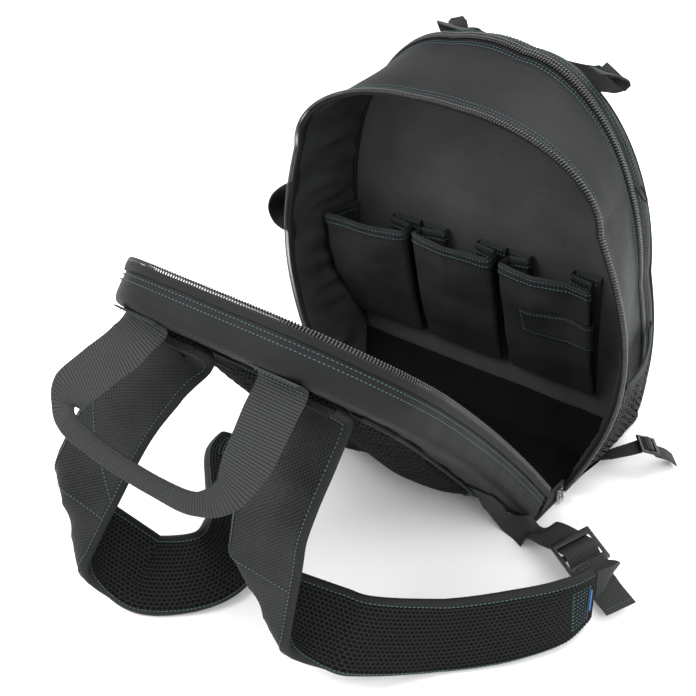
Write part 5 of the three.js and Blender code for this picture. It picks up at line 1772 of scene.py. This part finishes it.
@dataclass
class ShoulderStrap:
    """One padded strap: woven outside, spacer mesh inside, bound and stitched along its edges."""

    word: str
    hang: Sequence[Sequence[float]]
    lie: Sequence[Sequence[float]]
    fold: Fold
    boxes: tuple[float, ...]
    cross_seams: tuple[tuple[float, float], ...]
    panel: PanelShape = PANEL
    width: float = 72.0
    thick: float = 12.0
    root: float = 352.0
    spacing: float = 150.0
    tack_past: float = 17.0

    def line(self) -> StrapLine:
        """The strap's line. Rows of the tables are shares of the panel's height and the width."""
        side = 1 if self.word == "right" else -1
        height, width = self.panel.height, self.width

        def scaled(rows: Sequence[Sequence[float]]) -> list[tuple[float, ...]]:
            return [(r[0] * height, r[1] * height, r[2] * width, *r[3:]) for r in rows]

        seat = self.panel.band + 0.4 + self.thick / 2
        wide = np.array([1.0, 0, 0])
        roots = [
            Station(self.panel.point(side * self.spacing / 2, self.root + up, seat + lift), wide, width * w)
            for up, lift, w in ((26, 0.1, 0.9), (13, 0.9, 1.0), (0, 4.0, 1.0))
        ]
        hang = [*roots, *stations(scaled(self.hang), width)]
        return StrapLine(hang, self.fold, stations(scaled(self.lie), width), width)

    def build(self) -> None:
        """Makes the padding, bindings and stitches."""
        strip = self.line()

        def relief(row: Array, across: Array, up: Array) -> Array:
            base = strip.at(row, across, up * 0)
            soft = rumple(base, 40, 51) * 1.3 + rumple(base, 15, 52) * 0.5
            edge = np.clip((0.85 - np.abs(across)) * 5, 0, 1)
            return soft * edge * np.sign(up)

        body = sweep(f"strap_{self.word}_padding", strip, (230, 34), padded_section, self.thick,
                     relief, zones=lambda u, v: (v > 0.5).astype(int))
        dress(body, Finish.WOVEN, Finish.SPACER, nodes=[f"shoulder_strap_{self.word}"])
        parts = []
        for sign in (-1, 1):
            def place(u: Array, v: Array, sign: int = sign) -> Array:
                across = curve(v, (0, 0.42, 0.5, 0.58, 1), (0.88, 1.0, 1.03, 1.0, 0.88)) * sign
                up = curve(v, (0, 0.3, 0.45, 0.55, 0.7, 1), (5.7, 3.6, 1.6, -1.6, -3.6, -5.7))
                return strip.at(0.004 + u * 0.992, across, up)
            parts.append(grid(f"strap_{self.word}_binding", (230, 10), place))
        binding = join(f"strap_{self.word}_binding", parts)
        apply(binding, "SOLIDIFY", thickness=0.8 * MM, offset=0)
        dress(smooth(binding), Finish.BINDING)
        rows = np.linspace(0.01, 0.99, 900)
        seams = [strip.trace(rows, a, h) for a in (-0.9, 0.9) for h in (6.0, -6.0)]
        for place in self.boxes:
            seams += self.box(strip, place)
        for start, end in self.cross_seams:
            seams.append(strip.trace(np.linspace(start, end, 80), np.linspace(-0.86, 0.86, 80), 6.7))
        dress(stitching(f"strap_{self.word}_stitches", seams), Finish.THREAD)
        tack_row = self.boxes[0] + self.tack_past / strip.total
        tack = strip.trace(np.full(30, tack_row), np.linspace(-0.45, 0.3, 30), -7.2)
        dress(stitching(f"strap_{self.word}_tack", [tack], Stitch(1.6, 1.0, 2.6)), Finish.TACK)

    def box(self, strip: StrapLine, row: float) -> list[Line]:
        """Stitched box with a cross, on both faces, at a row of the strap."""
        half = 15.0 / strip.total
        lines = []
        for up in (6.6, -6.6):
            a = np.linspace(-0.62, 0.62, 80)
            lines += [strip.trace(np.full(80, end), a, up) for end in (row - half, row + half)]
            span = np.linspace(row - half, row + half, 50)
            lines += [strip.trace(span, np.full(50, s), up) for s in (-0.62, 0.62)]
        lines += [
            strip.trace(np.linspace(row - half, row + half, 50), np.full(50, s), -6.6)
            for s in np.linspace(-0.5, 0.5, 9)
        ]
        return lines


RIGHT_STRAP = ShoulderStrap(
    "right",
    hang=(
        (0.178, -0.723, 3.22, 1, 0, 0),
        (0.174, -0.78, 2.8, 1, 0.02, 0),
        (0.163, -0.808, 2.4, 1, 0.05, 0.03),
        (0.158, -0.822, 2.01, 1, 0.06, 0.03),
    ),
    lie=(
        (0.42, -0.612, 0.52, 0.1, -0.2, -0.97),
        (0.522, -0.505, 0.52, 0.08, -0.2, -0.97),
        (0.588, -0.405, 0.52, 0.05, -0.15, -0.98, 0.96),
        (0.604, -0.33, 0.5, 0, -0.1, -1, 0.84),
    ),
    fold=Fold(math.radians(45)),
    boxes=(0.945,),
    cross_seams=((0.335, 0.335),),
)
LEFT_STRAP = ShoulderStrap(
    "left",
    hang=(
        (-0.205, -0.72, 3.25, 1, 0, -0.1),
        (-0.244, -0.77, 2.88, 0.96, 0.1, -0.2),
        (-0.27, -0.816, 2.48, 0.95, 0.2, -0.12),
        (-0.288, -0.852, 2.1, 0.95, 0.24, -0.08),
    ),
    lie=(
        (-0.1, -0.755, 0.5, 0.4, -0.2, -0.85),
        (-0.108, -0.66, 0.44, 0.7, 0.2, -0.6),
        (-0.17, -0.56, 0.33, 0.86, 0.36, -0.4),
        (-0.25, -0.48, 0.28, 0.85, 0.48, -0.28),
        (-0.335, -0.395, 0.26, 0.82, 0.52, -0.25, 0.96),
        (-0.362, -0.335, 0.25, 0.9, 0.42, -0.2, 0.84),
    ),
    fold=Fold(math.radians(42)),
    boxes=(0.945,),
    cross_seams=((0.335, 0.335), (0.2, 0.3)),
)


@dataclass
class CarryHandle:
    """Carry handle: two flat legs and a grip folded lengthwise."""

    panel: PanelShape = PANEL
    width: float = 50.0
    drop: float = 106.0
    root: float = 410.0
    spacing: float = 150.0
    webbing: float = 1.8
    rows: tuple[tuple[float, ...], ...] = (
        (-1.1, 0.25, 0.0, 1, -0.1, 0, 1, 1),
        (-1.34, 0.53, 0.04, 1, -0.25, 0, 0.98, 1),
        (-1.55, 0.78, 0.04, 0.95, -0.35, 0, 0.94, 1.3),
        (-1.58, 0.9, 0.0, 0.6, -0.8, 0.1, 0.6, 2.2),
        (-1.46, 1.0, 0.0, 0.25, -0.95, 0.15, 0.42, 3.0),
        (-1.0, 1.08, -0.05, 0.1, -1, 0.2, 0.36, 3.2),
        (0, 1.13, -0.12, 0, -1, 0.25, 0.34, 3.2),
        (0.62, 1.09, -0.07, -0.15, -1, 0.2, 0.38, 3.0),
        (0.92, 0.93, 0.0, -0.7, -0.7, 0.1, 0.6, 2.0),
        (1.0, 0.66, 0.02, -1, -0.1, 0, 0.94, 1),
        (1, 0.3, 0.0, -1, 0, 0, 1, 1),
    )

    def line(self) -> Strip:
        """The handle's line."""
        up, out = self.panel.axes(self.root)
        made = []
        for across, drop, slide, wx, wo, wu, width, thick in self.rows:
            centre = self.panel.point(across * self.spacing / 2, self.root, self.panel.band)
            centre = centre + out * drop * self.drop + up * slide * self.width
            wide = unit(np.array([wx, 0, 0]) + out * wo + up * wu)
            made.append(Station(centre, wide, width * self.width, thick * self.webbing))

        def lay(side: int) -> list[Station]:
            seat = self.panel.band + 0.4 + self.webbing / 2
            centre = self.panel.point(side * self.spacing / 2, self.root, seat)
            wide = np.array([-side, 0.0, 0.0])
            return [
                Station(centre + up * 16, wide, self.width, self.webbing),
                Station(centre + out * 2.2, wide, self.width, self.webbing),
            ]
        return Strip([*lay(-1), *made, *reversed(lay(1))], 12)

    def build(self) -> None:
        """Makes the webbing, its cross stitches and root seams."""
        strip = self.line()

        def relief(row: Array, across: Array, up: Array) -> Array:
            layered = np.clip((strip.depth(row) - 2.4) / 1.2, 0, 1)
            groove = np.exp(-((across - 0.9) / 0.12) ** 2) * layered * 1.3
            return -np.sign(up) * groove

        band = sweep("carry_handle_webbing", strip, (240, 28), relief=relief)
        dress(band, Finish.WEBBING, nodes=["carry_handle"])
        lines = []
        for row in (0.6,):
            lines.append(strip.trace(np.full(60, row), np.linspace(-0.9, 0.9, 60), 2.4))
        for ends in ((0.012, 0.075), (0.925, 0.988)):
            for row in ends:
                lines.append(strip.trace(np.full(60, row), np.linspace(-0.86, 0.86, 60), 1.2))
        dress(stitching("carry_handle_stitches", lines), Finish.THREAD)


@dataclass
class Ribbon:
    """A length of webbing through stations."""

    name: str
    node: str
    line: Strip
    finish: Finish = Finish.WEBBING
    thick: Optional[float] = None
    seams: tuple[float, ...] = ()

    def build(self) -> None:
        """Makes the webbing and any cross seams."""
        cells = (max(24, int(self.line.length() / 2.2)), 20)
        dress(sweep(self.name, self.line, cells, thick=self.thick), self.finish, nodes=[self.node])
        if self.seams:
            height = float(self.line.depth(0.5)) / 2 + 0.2
            lines = [
                self.line.trace(np.full(40, row), np.linspace(-0.85, 0.85, 40), up)
                for row in self.seams for up in (height, -height)
            ]
            dress(stitching(f"{self.name}_seams", lines), Finish.THREAD)


@dataclass(frozen=True)
class Lock:
    """A ladder lock's place and sizes: centre, directions along and out, window, bar, thickness."""

    centre: tuple[float, float, float]
    along: tuple[float, float, float]
    out: tuple[float, float, float]
    window: float = 9.0
    bar: float = 6.0
    thick: float = 4.0

    def axes(self) -> tuple[Array, Array, Array]:
        """Directions along, across and out."""
        x = unit(np.array(self.along, float))
        out = np.array(self.out, float)
        z = unit(out - x * out.dot(x))
        return x, np.cross(z, x), z

    def weave(self, width: float, webbing: float = 1.8, gap: float = 0.4) -> list[Station]:
        """Stations of the webbing that winds through the lock."""
        x, y, z = self.axes()
        over = (self.thick + webbing) / 2 + gap
        middle = self.bar / 2 + self.window / 2
        rows = (
            (-middle - self.window * 0.7, -over - webbing), (-middle, 0.0),
            (-self.bar / 2, over + gap), (self.bar / 2, over + gap),
            (middle, 0.0), (middle + self.window * 0.7, -over - webbing),
        )
        centre = np.array(self.centre, float)
        return [Station(centre + x * a + z * b, y, width, webbing) for a, b in rows]


LOCK_RIGHT = Lock((225, -92, 28), (0.85, -0.4, -0.2), (0.2, -0.3, 0.9))
LOCK_LEFT = Lock((-166, -97, 15), (-0.08, -1, 0), (0, 0, 1))
LOCK_SIDE = Lock((206, 94, 27), (0.7, 0.62, -0.35), (0.3, 0.2, 0.9), 5.5, 4.0, 3.0)


@dataclass
class Webbings:
    """Lower webbings, the short webbings to their locks, the side strap and the front handle."""

    panel: PanelShape = PANEL
    shape: BagShape = SHAPE
    width: float = 38.0

    def lower(self, side: int, lock: Lock, lead: Sequence, tail: Sequence) -> Strip:
        """A lower webbing, from the panel through its lock."""
        wide = np.array([1.0, 0, 0])
        roots = [
            Station(self.panel.point(side * (124 + 4 * i), along, 39.3 + 2 * i * i), wide, self.width * 0.8)
            for i, along in enumerate((84, 62, 40))
        ]
        width = self.width * 0.9
        return Strip([*roots, *stations(lead, width), *lock.weave(width), *stations(tail, width)], 10)

    def side_strap(self) -> Strip:
        """The small strap below the net pocket."""
        roots = []
        for i, z in enumerate((11, 14)):
            near = self.shape.at_height(1, z, 58.0, 1.3 + i * 5)
            far = self.shape.at_height(1, z, 78.0, 1.3 + i * 5)
            roots.append(Station((near + far) / 2, unit(far - near), 20.0))
        tail = stations(((222, 108, 13, -0.6, 0.75, 0), (229, 115, 4, -0.6, 0.75, 0)), 20.0)
        return Strip([*roots, *LOCK_SIDE.weave(20.0), *tail], 10)

    def build(self) -> None:
        """Makes them all."""
        right = self.lower(1, LOCK_RIGHT,
                           ((162, -80, 9, 0.85, 0.5, 0.15), (184, -80, 20, 0.5, 0.8, 0.3)),
                           ((262, -108, 13, 0.4, 0.9, 0), (284, -118, 9, 0.4, 0.9, 0)))
        left = self.lower(-1, LOCK_LEFT,
                          ((-152, -72, 20, 1, -0.1, 0),),
                          ((-169, -122, 7, 1, -0.08, 0), (-170, -130, 4, 1, -0.08, 0)))
        loop_right = stations((
            (262, -131, 38, 0, -0.1, -1), (267, -116, 38, -0.2, -0.3, -0.9),
            (262, -107, 33, -0.4, -0.6, -0.5), (251, -104, 28, -0.45, -0.85, -0.25),
            (239, -99, 28.6, -0.42, -0.86, -0.2)), self.width * 0.8, 2.9)
        loop_left = stations((
            (-160, -136, 24, 1, 0.1, 0), (-163, -127, 22.4, 1, 0, 0),
            (-165.5, -118, 19.8, 1, -0.08, 0), (-166.2, -113, 19.5, 1, -0.08, 0)), self.width * 0.8, 2.9)
        handle = stations((
            (-50, 121.6, 422.6, 0, 1, -0.3), (-66, 121, 424, 0, 1, -0.35),
            (-77, 131, 421, 0.2, 1, -0.45), (-62, 149, 408, 0.4, 0.6, -0.7),
            (-20, 157, 392, 0.1, 0.3, -1), (40, 159, 385, -0.1, 0.3, -1),
            (88, 153, 391, -0.4, 0.5, -0.8), (106, 135, 404, -0.5, 1, -0.5),
            (92, 119, 412, -0.15, 1, -0.3)), 34.0)
        Ribbon("lower_webbing_right_band", "lower_webbing_right", right, seams=(0.03, 0.985)).build()
        Ribbon("lower_webbing_left_band", "lower_webbing_left", left, seams=(0.03,)).build()
        Ribbon("strap_loop_right_band", "strap_loop_right", Strip(loop_right)).build()
        Ribbon("strap_loop_left_band", "strap_loop_left", Strip(loop_left)).build()
        Ribbon("side_strap_band", "side_strap", self.side_strap()).build()
        Ribbon("front_handle_band", "front_handle", Strip(handle), seams=(0.02, 0.98)).build()


@dataclass
class ToolLoop:
    """Hanging loop on the left side, with the sheath strip inside it."""

    shape: BagShape = SHAPE
    rear: float = 10.0
    front: float = 55.0
    seat: float = 1.6

    def line(self, rows: Sequence[tuple[float, float]], thick: float, share: float) -> Strip:
        """A band through rows of distance off the bag and height."""
        made = []
        for out, z in rows:
            lift = self.seat + thick / 2 + out
            near = self.shape.at_height(-1, z, self.rear, lift)
            far = self.shape.at_height(-1, z, self.front, lift)
            width = float(np.linalg.norm(far - near))
            made.append(Station((near + far) / 2, (far - near) / width, width * share, thick))
        return Strip(made, 10)

    def build(self) -> None:
        """Makes the loop and sheath."""
        loop = self.line(((0, 276), (0, 266), (13, 259), (30, 240), (35, 222), (28, 208),
                          (11, 202), (0, 209), (0, 219)), 3.0, 1.0)
        sheath = self.line(((-0.9, 257), (4, 246), (7, 236), (3, 226)), 3.0, 0.8)
        Ribbon("tool_loop_band", "tool_loop", loop, Finish.BINDING, seams=(0.05, 0.97)).build()
        Ribbon("tool_loop_strip", "tool_loop_sheath", sheath, Finish.COATED, seams=(0.94,)).build()


@dataclass
class SideNet:
    """Gathered net pocket on the right side, with its bound edge."""

    shape: BagShape = SHAPE
    low: float = 24.0
    high: float = 150.0
    rear: float = 15.0
    front: float = 138.0
    bulge: float = 10.5
    seat: float = 2.6

    def place(self, across: Array, z: Array, lift: Array) -> Array:
        """Points of the net."""
        share = np.clip((z - self.low) / (self.high - self.low), 0, 1)
        rise = curve(share, (0, 0.12, 0.4, 1), (0, 0.55, 0.9, 1))
        belly = np.sin(np.pi * np.clip(across, 0, 1)) ** 0.7
        out = self.seat + lift + self.bulge * rise * belly
        return self.shape.at_height(1, z, lerp(self.rear, self.front, across), out)

    def build(self) -> None:
        """Makes the net and its binding."""
        def cloth(u: Array, v: Array) -> Array:
            z = lerp(self.low, self.high + 3, v)
            folds = np.sin(u * 2 * np.pi * 11 + np.sin(v * 5)) * (1 - v) ** 0.8
            return self.place(u, z, 0.7 + folds * 1.9 * np.minimum(v * 6, 1))

        net = grid("net_cloth", (120, 34), cloth, away=(0, 60, 90))
        dress(smooth(net), Finish.NET, nodes=["net_pocket"])

        def bound(u: Array, v: Array) -> Array:
            angle = v * 2 * np.pi
            z = self.high + 5 + np.sign(np.sin(angle)) * np.abs(np.sin(angle)) ** 0.4 * 5.2
            return self.place(u, z, 0.9 + np.sign(np.cos(angle)) * np.abs(np.cos(angle)) ** 0.4 * 1.4)

        band = grid("net_band", (90, 16), bound, closed=True)
        dress(smooth(band), Finish.BINDING, nodes=["net_binding"])
        u = np.linspace(0.02, 0.98, 160)
        rows = []
        for z in (self.high + 1.8, self.high + 8.0):
            points = self.place(u, np.full_like(u, z), np.full_like(u, 2.5))
            out = unit(self.place(u, np.full_like(u, z), np.full_like(u, 3.5)) - points)
            rows.append(Line(points, out))
        dress(stitching("net_stitches", rows), Finish.THREAD)


@dataclass
class Hardware:
    """Ladder locks, hinge gussets, the main zip's slider and pull, and the front pull's cord."""

    shape: BagShape = SHAPE
    cord_radius: float = 0.9
    cord_rows: tuple[tuple[float, float, float], ...] = (
        (1.3, 9, 316), (4, 10, 308), (6, 12, 302), (7, 14, 300), (7, 16, 302), (5, 17, 308), (3, 17, 314),
    )

    def build(self) -> None:
        """Makes them all."""
        for name in ("ladder_lock_left", "ladder_lock_right", "side_buckle"):
            piece = from_node(f"{name}_moulding", name, bevel=0.8, segments=3)
            dress(smooth(piece, 40), Finish.PLASTIC, nodes=[name])
        for name in ("hinge_gusset_left", "hinge_gusset_right"):
            piece = from_node(f"{name}_cloth", name, bevel=0.5)
            dress(smooth(piece, 40), Finish.WEBBING, nodes=[name])
        slider = from_node("zip_slider_body", "main_zip_slider", bevel=0.45, segments=3)
        dress(smooth(slider, 40), Finish.NICKEL, nodes=["main_zip_slider"])
        pull = from_node("zip_slider_pull", "main_zip_pull", bevel=0.4, segments=3)
        dress(smooth(pull, 40), Finish.NICKEL, nodes=["main_zip_pull"], body="pull")
        rows = np.array(self.cord_rows, float)
        points = self.shape.at_height(1, rows[:, 2], self.shape.depth + rows[:, 1], rows[:, 0])
        path = curve(np.linspace(0, 1, 60), np.linspace(0, 1, len(points)), points)
        cord = tube("front_pull_cord", path, self.cord_radius)
        dress(smooth(cord), Finish.CORD, nodes=["front_pull_loop"])
        tuple(path[0] * MM)
        [tuple(p * MM) for p in path]


@dataclass
class Studio:
    """Pale floor, soft light and the camera."""

    eye: tuple[float, float, float] = (0.5654, -0.8523, 0.8149)
    right: tuple[float, float, float] = (0.7895, 0.6130, -0.0304)
    up: tuple[float, float, float] = (-0.3232, 0.4573, 0.8285)
    back: tuple[float, float, float] = (0.5217, -0.6443, 0.5592)
    view: float = 2 * math.atan(348 / 1159)
    lamps: tuple[tuple[tuple[float, float, float], float, float], ...] = (
        ((-1.0, -1.3, 1.9), 44.0, 1.2),
        ((1.7, -0.5, 1.5), 22.0, 1.4),
        ((0.2, 1.5, 1.8), 34.0, 1.4),
    )

    def build(self) -> None:
        """Makes the floor, lights, world and camera."""
        deselect()
        bpy.ops.mesh.primitive_plane_add(size=12, location=(0, 0, 0))
        floor = bpy.context.object
        floor.name = "floor"
        floor.data.materials.append(
            Plain("floor_paper", (0.93, 0.93, 0.93), (0.95, 0.95, 0.95), rough=0.9, scale=2.0).build()
        )
        for spot, power, size in self.lamps:
            bpy.ops.object.light_add(type="AREA", location=spot)
            lamp = bpy.context.object
            lamp.data.energy = power
            lamp.data.size = size
            aim = Vector((0.02, -0.05, 0.18)) - lamp.location
            lamp.rotation_euler = aim.to_track_quat("-Z", "Y").to_euler()
        world = bpy.data.worlds.new("studio")
        bpy.context.scene.world = world
        world.use_nodes = True
        sky = world.node_tree.nodes["Background"]
        sky.inputs["Color"].default_value = (1.0, 1.0, 1.0, 1.0)
        sky.inputs["Strength"].default_value = 1.3
        bpy.ops.object.camera_add(location=self.eye)
        camera = bpy.context.object
        basis = Matrix((self.right, self.up, self.back)).transposed()
        camera.rotation_euler = basis.to_euler()
        camera.data.sensor_fit = "HORIZONTAL"
        camera.data.angle = self.view
        camera.data.clip_end = 60.0
        camera.data.dof.use_dof = False
        bpy.context.scene.camera = camera
        bpy.context.scene.view_settings.view_transform = "Standard"


def main() -> None:
    """Builds and dresses each piece in order."""
    logging.basicConfig(level=logging.INFO, format="%(name)s: %(message)s")
    for piece in (
        Base(), Gusset(), RimZip(), FrontZip(), FrontCompartment(), Divider(), Pockets(),
        BackPanel(), PanelZip(), BackPads(), RIGHT_STRAP, LEFT_STRAP, CarryHandle(),
        Webbings(), ToolLoop(), SideNet(), Hardware(), Studio(),
    ):
        LOG.info("building %s", type(piece).__name__)
        piece.build()


if __name__ == "__main__":
    main()
